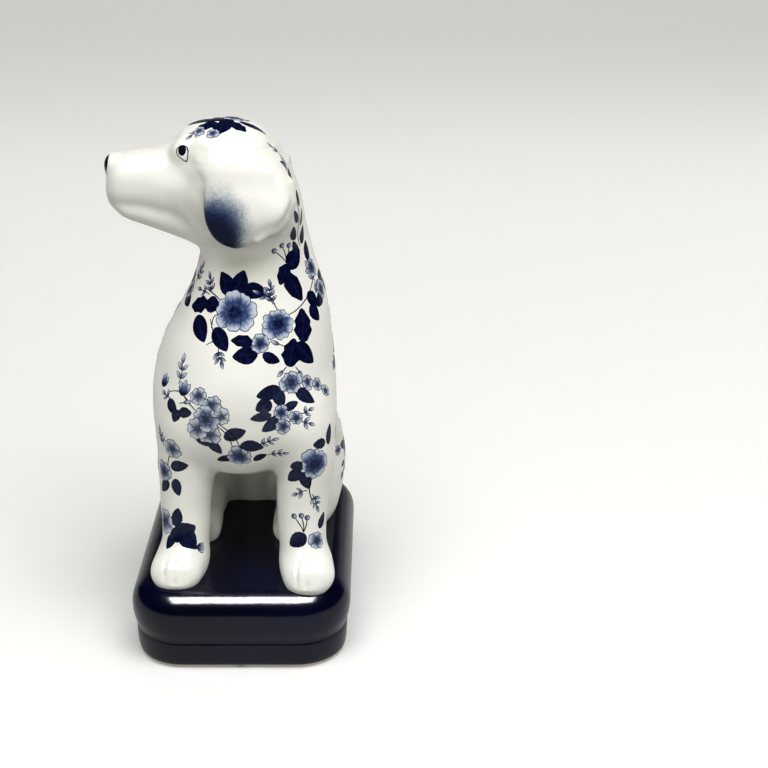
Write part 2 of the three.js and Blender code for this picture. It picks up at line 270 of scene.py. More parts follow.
def ear_distance(p, side):
    h = in_head(p)
    f, out, z = h[..., 0], side * h[..., 1], h[..., 2]
    curl = 4.2 * step(0, -16, f) * step(196, 180, z)
    d = loft(EAR, z, f, out - curl, ends=5)
    hem = np.stack([f, out, z], -1)
    path = [(-15.6, 21.4, 193), (-15.4, 23.8, 187), (-12.4, 26, 181.4), (-8.4, 27.4, 177), (-3, 28, 172.8)]
    rim = tube(hem, path, [0.8, 1.7, 1.9, 1.8, 0.8])
    return join(d, rim, 2.2)


def ear_fillet(p):
    """An ear grows out of the skull at its root and hangs clear of it below."""
    f = in_head(p)[..., 0]
    return np.maximum(mix(1.6, 11, step(184, 203, p[..., 2])), mix(1.6, 10, step(-3, -13, f)))


def shoulder_fillet(p):
    """A foreleg melts into the shoulder above, and meets the chest at a tighter corner below."""
    return mix(4, 16, step(76, 98, p[..., 2]))


# Down a groove between two toes: [share of the grooves' spread, back, height above the cushion].
TOE_GROOVE = [(0.7, 4, 13.6), (0.9, 3, 11), (1.0, -4.6, 2)]


def toes(p, d, x, y, spread):
    """Three soft grooves over a paw's front, fanning out from its instep towards its toes.

    A groove's radii are negative, so that only its rounded edge bites into the paw.
    """
    for lane in (-1, 0, 1):
        line = [(x + lane * spread * fan, y + back, TOP + height) for fan, back, height in TOE_GROOVE]
        d = cut(d, tube(p, line, [-2, -1.2, -1]), 3)
    return d


def foreleg_distance(p, side):
    x = side * p[..., 0]
    y = p[..., 1]
    if side > 0:
        y = y - LEFT_FORELEG_ADVANCE
    else:
        x = x + mix(2.6, 5.6, step(58, 82, p[..., 2]))  # the right foreleg stands nearer to the middle
    q = np.stack([x, y, p[..., 2]], -1)
    leg = loft(FORELEG, q[..., 2], x, y, ends=8)
    paw = loft(FOREPAW, y, x, q[..., 2], ends=9)
    return toes(q, join(leg, paw, 5), 28.2, -51.5, 4.4)


def haunch_distance(p, side):
    return loft(HAUNCH, p[..., 2], side * p[..., 0], p[..., 1], ends=8)


def haunch_fillet(p):
    """A haunch melts into the rump above, and meets it at a tighter corner below."""
    return mix(5, 12, step(62, 84, p[..., 2]))


def hind_paw_distance(p, side):
    q = p * [side, 1, 1]
    paw = loft(HIND_PAW, q[..., 1], q[..., 0], q[..., 2], ends=8)
    return toes(q, paw, 21.4, -11, 4.2)


def torso_distance(p):
    d = np.maximum(loft(TORSO, p[..., 2], p[..., 0], p[..., 1]), p[..., 2] - 196)
    brisket = ellipsoid(p, (1, -26, 92), (24, 18, 18.5))
    return join(d, brisket, 6)


def castings(p):
    """Each casting's own distance, with the fillet that joins it to what is already there."""
    yield "torso_casting", torso_distance(p), 1
    yield "head_casting", head_distance(p), 5
    for side, name in SIDE_NAMES.items():
        yield f"{name}_foreleg", foreleg_distance(p, side), shoulder_fillet(p)
        yield f"{name}_haunch", haunch_distance(p, side), haunch_fillet(p)
        yield f"{name}_hind_paw", hind_paw_distance(p, side), 3
        yield f"{name}_ear", ear_distance(p, side), ear_fillet(p)
    yield "tail", tube(p, TAIL[:, 1:4], TAIL[:, 4]), 3


def skin(p):
    """The whole dog's distance, cut off a little way down into the cushion."""
    d = None
    for _, own, k in castings(p):
        d = own if d is None else join(d, own, k)
    floor = cushion_height(p[..., 0], p[..., 1]) - SUNK - p[..., 2]
    return np.maximum(d, floor)


def slope_of(field, p, h=0.12):
    """The distance's own gradient, from four neighbours."""
    corners = np.array([(1, 1, 1), (1, -1, -1), (-1, 1, -1), (-1, -1, 1)], float)
    return sum(corner * field(p + h * corner)[..., None] for corner in corners) / (4 * h)


def onto(field, p, rounds=2):
    """Points moved along the field's gradient to its surface."""
    for _ in range(rounds):
        g = slope_of(field, p)
        p = p - field(p)[..., None] * g / np.maximum((g * g).sum(-1, keepdims=True), 0.05)
    return p


def unit(v):
    return v / np.maximum(np.linalg.norm(v, axis=-1, keepdims=True), 1e-9)


# ---- Making the skin into a mesh ----
def sampled(field, low, high, cell, block=6, margin=1.25):
    """The field on a grid, worked out only in the blocks that the surface may cross.

    Those are the blocks whose middle lies less than margin blocks from the surface. A point that is only in
    other blocks gets the value from its block's middle.
    """
    blocks = np.ceil((np.array(high) - low) / (cell * block)).astype(int)
    grid = np.empty(tuple(blocks * block + 1))
    starts = np.stack(np.meshgrid(*(np.arange(n) for n in blocks), indexing="ij"), -1).reshape(-1, 3) * block
    centre = field(np.array(low) + (starts + block / 2) * cell)
    near = np.abs(centre) < margin * block * cell
    wanted = np.zeros(grid.shape, bool)
    for start, value, keep in zip(starts, centre, near):
        part = tuple(slice(s, s + block + 1) for s in start)
        grid[part] = np.where(wanted[part], grid[part], value)
        if keep:
            wanted[part] = True
    places = np.argwhere(wanted)
    chunks = np.array_split(places, 8)
    grid[wanted] = np.concatenate([field(np.array(low) + chunk * cell) for chunk in chunks])
    return grid


def polygonise(field, low, high, cell):
    """Surface nets: a vertex in each cell that the surface crosses, and a quad across each crossed edge."""
    grid = sampled(field, low, high, cell)
    inside = grid < 0
    cells = tuple(n - 1 for n in grid.shape)
    corner = [(a, b, c) for a in (0, 1) for b in (0, 1) for c in (0, 1)]
    full = sum(inside[a:a + cells[0], b:b + cells[1], c:c + cells[2]].astype(np.int8) for a, b, c in corner)
    crossed = np.argwhere((full > 0) & (full < 8))
    number = np.full(cells, -1)
    number[tuple(crossed.T)] = np.arange(len(crossed))

    total = np.zeros((len(crossed), 3))
    count = np.zeros(len(crossed))
    for axis in range(3):
        others = [k for k in range(3) if k != axis]
        for aside in ((0, 0), (0, 1), (1, 0), (1, 1)):
            start = crossed.copy()
            start[:, others] += aside
            end = start.copy()
            end[:, axis] += 1
            a, b = grid[tuple(start.T)], grid[tuple(end.T)]
            hit = (a < 0) != (b < 0)
            t = np.where(hit, a / np.where(hit, a - b, 1), 0)
            total += np.where(hit[:, None], mix(start.astype(float), end, t[:, None]), 0)
            count += hit
    vertices = np.array(low) + total / count[:, None] * cell

    quads = []
    for axis in range(3):
        u, v = [(1, 2), (2, 0), (0, 1)][axis]
        a = np.moveaxis(inside, (axis, u, v), (0, 1, 2))
        n = np.moveaxis(number, (axis, u, v), (0, 1, 2))
        change = a[:-1, 1:-1, 1:-1] != a[1:, 1:-1, 1:-1]
        i, j, k = np.argwhere(change).T
        quad = np.stack([n[i, j, k], n[i, j + 1, k], n[i, j + 1, k + 1], n[i, j, k + 1]], 1)
        outward = a[i, j + 1, k + 1]
        quads.append(np.where(outward[:, None], quad, quad[:, ::-1]))
    return vertices, np.concatenate(quads)


def relaxed(field, vertices, quads, rounds=3):
    """Evens the quads out along the surface."""
    pairs = np.concatenate([quads[:, [k, (k + 1) % 4]] for k in range(4)])
    ends = np.concatenate([pairs, pairs[:, ::-1]])
    count = np.bincount(ends[:, 0], minlength=len(vertices))[:, None]
    for _ in range(rounds):
        sums = [np.bincount(ends[:, 0], vertices[ends[:, 1], k], len(vertices)) for k in range(3)]
        vertices = onto(field, mix(vertices, np.stack(sums, 1) / count, 0.5), rounds=1)
    return onto(field, vertices, rounds=1)


# ---- Objects ----
def to_scene(points):
    return (np.asarray(points, float) + MIDDLE) * MM


def link(data, name, *materials):
    """A new object in the scene, with its materials if it is a mesh."""
    made = bpy.data.objects.new(name, data)
    bpy.context.scene.collection.objects.link(made)
    for material in materials:
        data.materials.append(material)
    return made


def mesh_of(name, vertices, faces, normals=None):
    mesh = bpy.data.meshes.new(name)
    mesh.from_pydata(to_scene(vertices).tolist(), [], [list(map(int, f)) for f in faces])
    mesh.polygons.foreach_set("use_smooth", [True] * len(mesh.polygons))
    mesh.update()
    if normals is not None:
        mesh.normals_split_custom_set_from_vertices(normals.tolist())
    return mesh


def stored(mesh, name, values):
    mesh.attributes.new(name, "FLOAT", "POINT").data.foreach_set("value", np.asarray(values, float))


def settled(owner, quads, rounds=6):
    """Gives each quad to the owner of most quads round its corners, so that no stray quads are left over."""
    for _ in range(rounds):
        votes = np.zeros((quads.max() + 1, owner.max() + 1))
        for k in range(4):
            np.add.at(votes, (quads[:, k], owner), 1)
        owner = votes[quads].sum(1).argmax(1)
    return owner


def open_loops(faces):
    """The loops that run round the open edges of a set of quads, each the way round of a closing face."""
    following = {}
    edges = {(int(a), int(b)) for face in faces for a, b in zip(face, np.roll(face, -1))}
    for a, b in edges:
        if (b, a) not in edges:
            following.setdefault(b, []).append(a)
    loops = []
    while following:
        start = next(iter(following))
        loop = [start]
        while loop[-1] in following:
            nexts = following[loop[-1]]
            ahead = nexts.pop()
            if not nexts:
                del following[loop[-1]]
            if ahead == start:
                loops.append(loop)
                break
            loop.append(ahead)
    return loops


SEAM_DEPTH = 1.5  # how far a casting's edge turns in at a seam before it is closed across
POOL_AND_SHADE_REACHES = (3, 14)  # how far out the skin is looked for again: the near reach finds the creases where glaze pools, and the wide one the hollows that are given painted shade


def divided(vertices, quads, materials):
    """Divides the skin between the castings, and closes each piece across its seams.

    Each vertex keeps how deep it lies in a crease or hollow, where its glaze is darkened: partly glaze that
    pools there, and partly painted shade.
    """
    normals = unit(slope_of(skin, vertices))
    # The near reach finds creases, where glaze pools; the wide one finds hollows under the head and between
    # the parts, which get painted shade.
    near, wide = (np.clip(1 - skin(vertices + reach * normals) / reach, 0, 1) for reach in POOL_AND_SHADE_REACHES)
    pool_and_shade = np.maximum(near, 0.9 * wide)
    centres = vertices[quads].mean(1)
    names, fields = zip(*((name, own) for name, own, _ in castings(centres)))
    owner = settled(np.argmin(np.array(fields), axis=0), quads)
    for index, name in enumerate(names):
        own = quads[owner == index]
        used, local = np.unique(own, return_inverse=True)
        local = local.reshape(own.shape)
        places, facing, pool_and_shade_here = vertices[used], normals[used], pool_and_shade[used]
        faces = [list(face) for face in local]
        for loop in open_loops(local):
            inner = len(places) + np.arange(len(loop))
            places = np.vstack([places, places[loop] - SEAM_DEPTH * facing[loop]])
            facing = np.vstack([facing, facing[loop]])
            pool_and_shade_here = np.append(pool_and_shade_here, pool_and_shade_here[loop])
            ahead = np.roll(np.arange(len(loop)), -1)
            faces += [(loop[i], loop[j], inner[j], inner[i]) for i, j in enumerate(ahead)]
            faces.append(list(inner))
        mesh = mesh_of(name, places, faces, facing)
        stored(mesh, "pool_and_shade", pool_and_shade_here)
        made = link(mesh, f"{name}_glazed", materials(name))
        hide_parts(name)
        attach(made, "root")


# ---- The plinth and its pads ----
def outline(inset, per_corner=14, per_side=12):
    """The plinth's outline in plan, drawn in by an inset, always with the same number of points."""
    radius = max(CORNER - inset, 0.02)
    x, y = HALF_WIDTH - CORNER, HALF_DEPTH - CORNER
    points = []
    for cx, cy, start in ((x, -y, -90), (x, y, 0), (-x, y, 90), (-x, -y, 180)):
        angles = np.radians(start + np.linspace(0, 90, per_corner))
        points.append(np.stack([cx + radius * np.cos(angles), cy + radius * np.sin(angles)], 1))
    loop = []
    for corner, following in zip(points, points[1:] + points[:1]):
        loop.append(corner)
        loop.append(mix(corner[-1], following[0], np.linspace(0, 1, per_side + 1, endpoint=False)[1:, None]))
    return np.concatenate(loop)


def arc(inset, z, width, height, low, high, steps):
    """Points (inset, z) on an ellipse about (inset, z), between two angles from straight out."""
    turns = np.radians(np.linspace(low, high, steps))
    return [(inset - width * math.cos(t), z + height * math.sin(t)) for t in turns]


def ringed(rings, close_start=False, close_end=False):
    """Faces over equal rings of points, each open end closed round its middle."""
    n = len(rings[0])
    vertices = np.concatenate(rings)
    faces = []
    for r in range(len(rings) - 1):
        for i in range(n):
            j = (i + 1) % n
            faces.append((r * n + i, r * n + j, (r + 1) * n + j, (r + 1) * n + i))
    if close_start:
        vertices = np.vstack([vertices, rings[0].mean(0)])
        faces += [((i + 1) % n, i, len(vertices) - 1) for i in range(n)]
    if close_end:
        vertices = np.vstack([vertices, rings[-1].mean(0)])
        last = (len(rings) - 1) * n
        faces += [(last + i, last + (i + 1) % n, len(vertices) - 1) for i in range(n)]
    return vertices, faces


VENT_RADIUS = 5.0
VENT_EDGE = 0.8  # how wide the vent's rounded edges are
WALL = 4.5
UNDERSIDE = RIM + 1.5  # the recessed bottom, inside the foot rim
INNERMOST = 20  # the inset of the last outline before the top's rings are drawn in to its middle

# Up the plinth's side from the foot: [step, inset, height]. The crease is the shallow dip.
BAND = [
    (0, 2.5, RIM + 0.6), (1, 2.1, RIM + 1.5), (2, 1.75, RIM + 3.4), (3, 1.5, RIM + 6.2),
    (4, 1.4, CREASE - 2.2), (5, 1.5, CREASE - 1.1), (6, 1.8, CREASE), (7, 1.65, CREASE + 1),
    (8, 1.15, CREASE + 2.6), (9, 0.5, CREASE + 4.8), (10, 0.06, CREASE + 7.6),
]


def plinth(glaze, biscuit):
    """From the cavity's roof, down and out through the vent, over the foot rim, and up over the cushion."""
    def level(inset, z):
        plan = outline(inset)
        return np.column_stack([plan, np.full(len(plan), z)])

    def vent(z, radius=VENT_RADIUS):
        plan = outline(12)
        return np.column_stack([radius * unit(plan), np.full(len(plan), z)])

    def on_cushion(plan):
        return np.column_stack([plan, cushion_height(plan[:, 0], plan[:, 1])])

    cavity = [vent(TOP - WALL, 2), level(14, TOP - WALL), level(8, TOP - WALL - 3), level(6.5, 14),
              level(8, 9), level(14, UNDERSIDE + WALL)]
    mouth = [vent(UNDERSIDE + WALL, VENT_RADIUS + VENT_EDGE), vent(UNDERSIDE + WALL - VENT_EDGE),
             vent(UNDERSIDE + VENT_EDGE), vent(UNDERSIDE, VENT_RADIUS + VENT_EDGE)]
    under = [level(16, UNDERSIDE), level(9.4, UNDERSIDE), level(8.4, UNDERSIDE - 0.3)]
    foot = arc(6.8, RIM + 0.5, -0.7, 0.5, -10, -90, 4) + arc(3.4, RIM + 0.6, 0.8, 0.6, -90, -30, 4)
    foot = [level(*point) for point in foot]
    band = [level(inset, z) for _, inset, z in through(BAND, 5)]
    low = CUSHION_LOW + ROUND_HEIGHT
    cushion = [level(*point) for point in arc(ROUND_WIDTH, low, ROUND_WIDTH, ROUND_HEIGHT, 0, 90, 24)]
    top = [on_cushion(outline(inset)) for inset in (11, 13.5, 16.5, INNERMOST)]
    top += [on_cushion(share * outline(INNERMOST)) for share in (0.8, 0.6, 0.4, 0.2, 0.06)]
    rings = cavity + mouth + under + foot + band + cushion + top
    vertices, faces = ringed(rings, close_start=True, close_end=True)
    made = link(mesh_of("plinth", vertices, faces), "plinth_glazed", glaze, biscuit)
    n = len(rings[0])
    bare = range(len(cavity + mouth) * n, len(cavity + mouth + under + foot) * n)
    for face in made.data.polygons:
        face.material_index = int(face.index in bare)
    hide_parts("plinth_casting")
    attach(made, "root")


# Round a felt pad's edge, from its underside up: [outward of its radius, share of its thickness].
PAD_SECTION = [
    (-1.0, 0.0), (-0.35, 0.0), (-0.12, 0.06), (0.0, 0.28), (0.03, 0.5), (0.0, 0.74), (-0.12, 0.95),
    (-0.35, 1.0), (-1.0, 1.0),
]


def felt_pad(node, material, seed, around=96):
    """A punched felt disc with soft, slightly ragged edges."""
    low, high = (np.array(corner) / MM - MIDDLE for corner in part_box(node))
    centre, radius = (low + high)[:2] / 2, (high - low)[0] / 2
    thickness = high[2] - low[2]
    turns = np.linspace(0, 2 * math.pi, around, endpoint=False)
    noise = np.random.default_rng(seed)
    waves = [noise.uniform(0.2, 1) / k * np.sin(k * turns + noise.uniform(0, 6)) for k in range(5, 30)]
    ragged = sum(waves) * 0.045
    rings = []
    for out, up in PAD_SECTION:
        r = radius + out + ragged * (out > -0.9)
        plan = centre + r[:, None] * np.column_stack([np.cos(turns), np.sin(turns)])
        rings.append(np.column_stack([plan, np.full(around, up * thickness)]))
    vertices, faces = ringed(rings, close_start=True, close_end=True)
    made = link(mesh_of(node, vertices, faces), f"{node}_felt", material)
    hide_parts(node)
    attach(made, "root")


# ---- Materials ----
GLOSS = 0.38  # the weight of the clear coat over the white and its painting


class Nodes:
    """A short way to write a material's nodes."""

    def __init__(self, name, roughness):
        self.material = bpy.data.materials.new(name)
        self.material.use_nodes = True
        self.tree = self.material.node_tree
        self.shader = self.tree.nodes["Principled BSDF"]
        self.shader.inputs["Roughness"].default_value = roughness

    def add(self, kind, **values):
        made = self.tree.nodes.new(kind)
        for key, value in values.items():
            setattr(made, key, value)
        return made

    def feed(self, node, **inputs):
        for key, value in inputs.items():
            socket = node.inputs[int(key[1:]) if key[1:].isdigit() else key.replace("_", " ")]
            if isinstance(value, bpy.types.NodeSocket):
                self.tree.links.new(value, socket)
            else:
                socket.default_value = value
        return node

    def place(self):
        return self.add("ShaderNodeTexCoord").outputs["Object"]

    def noise(self, scale, detail=3.0, roughness=0.5):
        node = self.add("ShaderNodeTexNoise")
        self.feed(node, Vector=self.place(), Scale=scale, Detail=detail, Roughness=roughness)
        return node.outputs["Fac"]

    def math(self, operation, a, b=0.0):
        return self.feed(self.add("ShaderNodeMath", operation=operation), _0=a, _1=b).outputs[0]

    def ramp(self, value, low, high, to_low=0.0, to_high=1.0):
        node = self.add("ShaderNodeMapRange", interpolation_type="SMOOTHSTEP")
        return self.feed(node, _0=value, _1=low, _2=high, _3=to_low, _4=to_high).outputs[0]

    def blend(self, share, a, b):
        node = self.add("ShaderNodeMix", data_type="RGBA", blend_type="MIX")
        return self.feed(node, _0=share, _6=a, _7=b).outputs[2]

    def mottled(self, scale, detail, low, high, a, b, roughness=0.5):
        """The colour a, with b wherever a noise rises from low to high."""
        return self.blend(self.ramp(self.noise(scale, detail, roughness), low, high), a, b)

    def wavering(self, value, scale, amount, roughness=0.5):
        """A value with a noise about zero added to it."""
        noise = self.math("SUBTRACT", self.noise(scale, 2.0, roughness), 0.5)
        return self.math("ADD", value, self.math("MULTIPLY", noise, amount))

    def attribute(self, name):
        return self.add("ShaderNodeAttribute", attribute_name=name).outputs["Fac"]

    def bump(self, height, distance, strength=1.0, under=None):
        node = self.feed(self.add("ShaderNodeBump"), Height=height, Distance=distance, Strength=strength)
        if under:
            self.feed(node, Normal=under)
        return node.outputs[0]

    def colour(self, value):
        self.feed(self.shader, Base_Color=value)

    def glazed(self, ripple, weight=GLOSS, softness=0.11):
        """Clear glaze: a hard gloss with the slow unevenness that it has run to in the kiln."""
        self.shader.inputs["Specular IOR Level"].default_value = 0.0
        self.shader.inputs["Coat Weight"].default_value = weight
        self.shader.inputs["Coat Roughness"].default_value = softness
        self.shader.inputs["Coat IOR"].default_value = 1.5
        slow = self.bump(self.noise(55, 1.0), 0.001, ripple)
        fine = self.bump(self.noise(420, 2.0), 0.0001, ripple * 2, under=slow)
        self.feed(self.shader, Normal=fine, Coat_Normal=fine)


def rgb(r, g, b):
    return (r, g, b, 1)


PORCELAIN = rgb(0.85, 0.855, 0.795)
# The white of creases and hollows: partly glaze pooled there, and partly painted shade.
POOLED_GLAZE_AND_SHADE = rgb(0.55, 0.55, 0.465)
BLACK = rgb(0.006, 0.006, 0.008)


def spot(n, centre, radii, full, gone, grain):
    """How strongly an airbrushed spot colours a point: 1 inside full and 0 beyond gone.

    Both are shares of its radii, and the grain is how unevenly the colour fell.
    """
    def vector_math(operation, **inputs):
        return n.feed(n.add("ShaderNodeVectorMath", operation=operation), **inputs).outputs

    shifted = vector_math("SUBTRACT", _0=n.place(), _1=tuple(to_scene(centre)))[0]
    scaled = vector_math("DIVIDE", _0=shifted, _1=tuple(np.array(radii) * MM))[0]
    reach = vector_math("LENGTH", _0=scaled)["Value"]
    reach = n.wavering(reach, 1500, grain, 0.7)
    reach = n.wavering(reach, 160, grain * 0.6)
    return n.ramp(reach, full, gone, 1.0, 0.0)


def porcelain(name, spots=(), weight=GLOSS):
    """White porcelain whose glaze is darker and greener in creases and hollows, partly where it pools and
    partly as painted shade, under airbrushed spots.

    A spot is its ink, its strength, and then what its place and spread are.
    """
    n = Nodes(name, roughness=0.35)
    tone = n.mottled(18, 2.0, 0.35, 0.7, PORCELAIN, rgb(0.86, 0.862, 0.82))
    # Painted shade, partly real pooled glaze: the white darkens towards a greener grey in creases and
    # hollows.
    pooled_and_shaded = n.math("MULTIPLY", n.ramp(n.attribute("pool_and_shade"), 0.1, 0.8), 0.8)
    colour = n.blend(pooled_and_shaded, tone, POOLED_GLAZE_AND_SHADE)
    specks = n.ramp(n.noise(900, 1.0), 0.78, 0.84, 0.0, 0.35)
    colour = n.blend(specks, colour, rgb(0.45, 0.42, 0.36))
    for ink, share, *where in spots:
        colour = n.blend(n.math("MULTIPLY", spot(n, *where), share), colour, ink)
    n.colour(colour)
    n.glazed(ripple=0.05, weight=weight)
    return n.material


def head_glaze():
    """The nose is painted black, with a softer grey round and below it."""
    nose = from_head(56, 0, 197.6)
    grey = from_head(56, 0, 195)
    return porcelain("head_white_glaze", [
        (rgb(0.12, 0.12, 0.14), 0.7, grey, (4.4, 6, 6), 0.55, 1.05, 0.2),
        (BLACK, 1.0, nose, (3.6, 6.4, 4.4), 0.92, 1.0, 0.05),
    ])


def ear_glaze(side):
    """Cobalt airbrushed over the ear's lower front corner."""
    low = from_head(13, side * 29, 176.5)
    return porcelain(f"ear_white_glaze_{SIDE_NAMES[side]}", [
        (rgb(0.10, 0.15, 0.24), 0.9, low + [1, 0, 2.5], (14.5, 22, 17), 0.4, 1.08, 0.4),
        (rgb(0.015, 0.035, 0.11), 0.95, low, (12.5, 20, 15), 0.35, 1.0, 0.35),
        (rgb(0.002, 0.006, 0.035), 1.0, low + [-1, 0, -4], (12.5, 20, 15), 0.5, 1.0, 0.3),
    ], weight=0.3)


def cobalt():
    n = Nodes("cobalt_glaze", roughness=0.3)
    deep = n.mottled(30, 3.0, 0.3, 0.75, rgb(0.0008, 0.0012, 0.010), rgb(0.0013, 0.0025, 0.024))
    n.colour(n.mottled(260, 4.0, 0.6, 0.9, deep, rgb(0.0028, 0.0056, 0.048), roughness=0.7))
    n.glazed(ripple=0.22, weight=0.7, softness=0.17)
    return n.material


def bare_biscuit():
    n = Nodes("bare_biscuit", roughness=0.85)
    base = n.mottled(120, 4.0, 0.3, 0.7, rgb(0.62, 0.58, 0.50), rgb(0.70, 0.67, 0.60))
    n.colour(n.mottled(900, 2.0, 0.62, 0.72, base, rgb(0.34, 0.29, 0.23)))
    n.feed(n.shader, Normal=n.bump(n.noise(1400, 3.0), 0.0002, 0.35))
    return n.material


def felt():
    n = Nodes("green_felt", roughness=1.0)
    n.shader.inputs["Sheen Weight"].default_value = 0.4
    fibres = n.noise(2600, 5.0, 0.75)
    base = n.mottled(350, 3.0, 0.3, 0.7, rgb(0.012, 0.060, 0.022), rgb(0.022, 0.105, 0.038))
    n.colour(n.blend(n.ramp(fibres, 0.55, 0.8), base, rgb(0.06, 0.17, 0.08)))
    n.feed(n.shader, Normal=n.bump(fibres, 0.0004, 0.7))
    return n.material


def paper():
    """A pale sweep with painted shade that greys it towards the back and darkens it towards its top, and a
    painted glow a little behind.
    """
    n = Nodes("paper_with_painted_shade", roughness=0.9)
    place = n.feed(n.add("ShaderNodeSeparateXYZ"), Vector=n.place()).outputs
    # Painted shade: the paper greys towards the back, as if the light fell off there.
    pale = n.blend(n.ramp(place["Y"], 0.15, 1.3), rgb(0.93, 0.93, 0.92), rgb(0.80, 0.79, 0.775))
    # Painted shade: the paper darkens towards its top, so that the glaze mirrors a dark wall.
    high = n.ramp(place["Z"], 0.4, 1.1)
    n.colour(n.blend(high, pale, rgb(0.12, 0.12, 0.12)))
    # Painted light: the paper glows, more towards the back, and not at all near its top.
    glow = n.blend(n.ramp(place["Y"], 0.0, 0.9), rgb(0.02, 0.02, 0.018), rgb(0.28, 0.28, 0.272))
    n.feed(n.shader, Emission_Color=n.blend(high, glow, rgb(0, 0, 0)), Emission_Strength=1.0)
    n.shader.inputs["Specular IOR Level"].default_value = 0.1
    return n.material


# ---- Painted decoration ----
# Each side that a place is given from: straight out of the dog, the viewer's right, and up.
SIDES = {
    "front": ((0, -1, 0), (1, 0, 0), (0, 0, 1)),
    "back": ((0, 1, 0), (-1, 0, 0), (0, 0, 1)),
    "left": ((1, 0, 0), (0, 1, 0), (0, 0, 1)),
    "right": ((-1, 0, 0), (0, -1, 0), (0, 0, 1)),
    "top": ((0, 0, 1), (1, 0, 0), (0, 1, 0)),
}
KINDS = ("leaf", "petal", "line", "white", "black")
LIFT = 0.07  # how far the first layer of paint stands above the skin
LAYER = 0.025  # how far each layer stands above the one below
BURIED = -0.08  # how far the rim of a patch of paint sinks into the skin
SKIRT = 0.15  # how far a patch's rim reaches beyond its outline
LINE_SKIRT = 0.12  # how far a line's rims reach beyond its own edges
EDGE_BAND = 0.35  # the width of a patch's first ring inside its outline
RING_STEP = 1.5  # the most that the rings inside that lie apart


def rounded(t):
    """Shares from 0 to 1 that lie closer together at both ends."""
    return (1 - np.cos(math.pi * t)) / 2


def blade(length, width, fullness=0.8, point=1.0, lobes=0.0, bend=0.0, notch=0.0):
    """A leaf's or petal's outline, its base at the origin and its tip along +x."""
    t = rounded(np.linspace(0, 1, max(6, math.ceil(length / 1.1))))
    half = width / 2 * np.abs(np.sin(math.pi * t**fullness)) ** point * (1 + lobes * np.cos(6 * math.pi * t))
    tip = notch * length * step(0.7, 1, t)
    across = np.concatenate([-half, half[-2:0:-1]])
    along = np.concatenate([t, t[-2:0:-1]]) * length
    dip = np.concatenate([tip, tip[-2:0:-1]]) * np.exp(-(across / (0.22 * width)) ** 2)
    arch = np.concatenate([t, t[-2:0:-1]])
    return np.column_stack([along - dip, across + bend * length * 4 * arch * (1 - arch)])


def oval(width, height):
    turns = np.linspace(0, 2 * math.pi, max(12, math.ceil(width * 3)), endpoint=False)
    return np.column_stack([width / 2 * np.cos(turns), height / 2 * np.sin(turns)])


def turned(points, degrees):
    c, s = math.cos(math.radians(degrees)), math.sin(math.radians(degrees))
    return np.asarray(points) @ np.array([[c, s], [-s, c]])


def landed(side, places, away=230, strides=70):
    """Where straight lines from far away on one side of the dog first meet its skin.

    Each stride is a little less than the distance to the skin, so that none steps through it.
    """
    out, right, up = (np.array(axis, float) for axis in SIDES[side])
    places = np.array(places, float)
    p = places[:, :1] * right + places[:, 1:] * up + away * out
    for _ in range(strides):
        p = p - out * np.clip(0.8 * skin(p), -1, 8)[:, None]
    return p


def split_like(points, parts):
    return np.split(points, np.cumsum([len(part) for part in parts])[:-1])


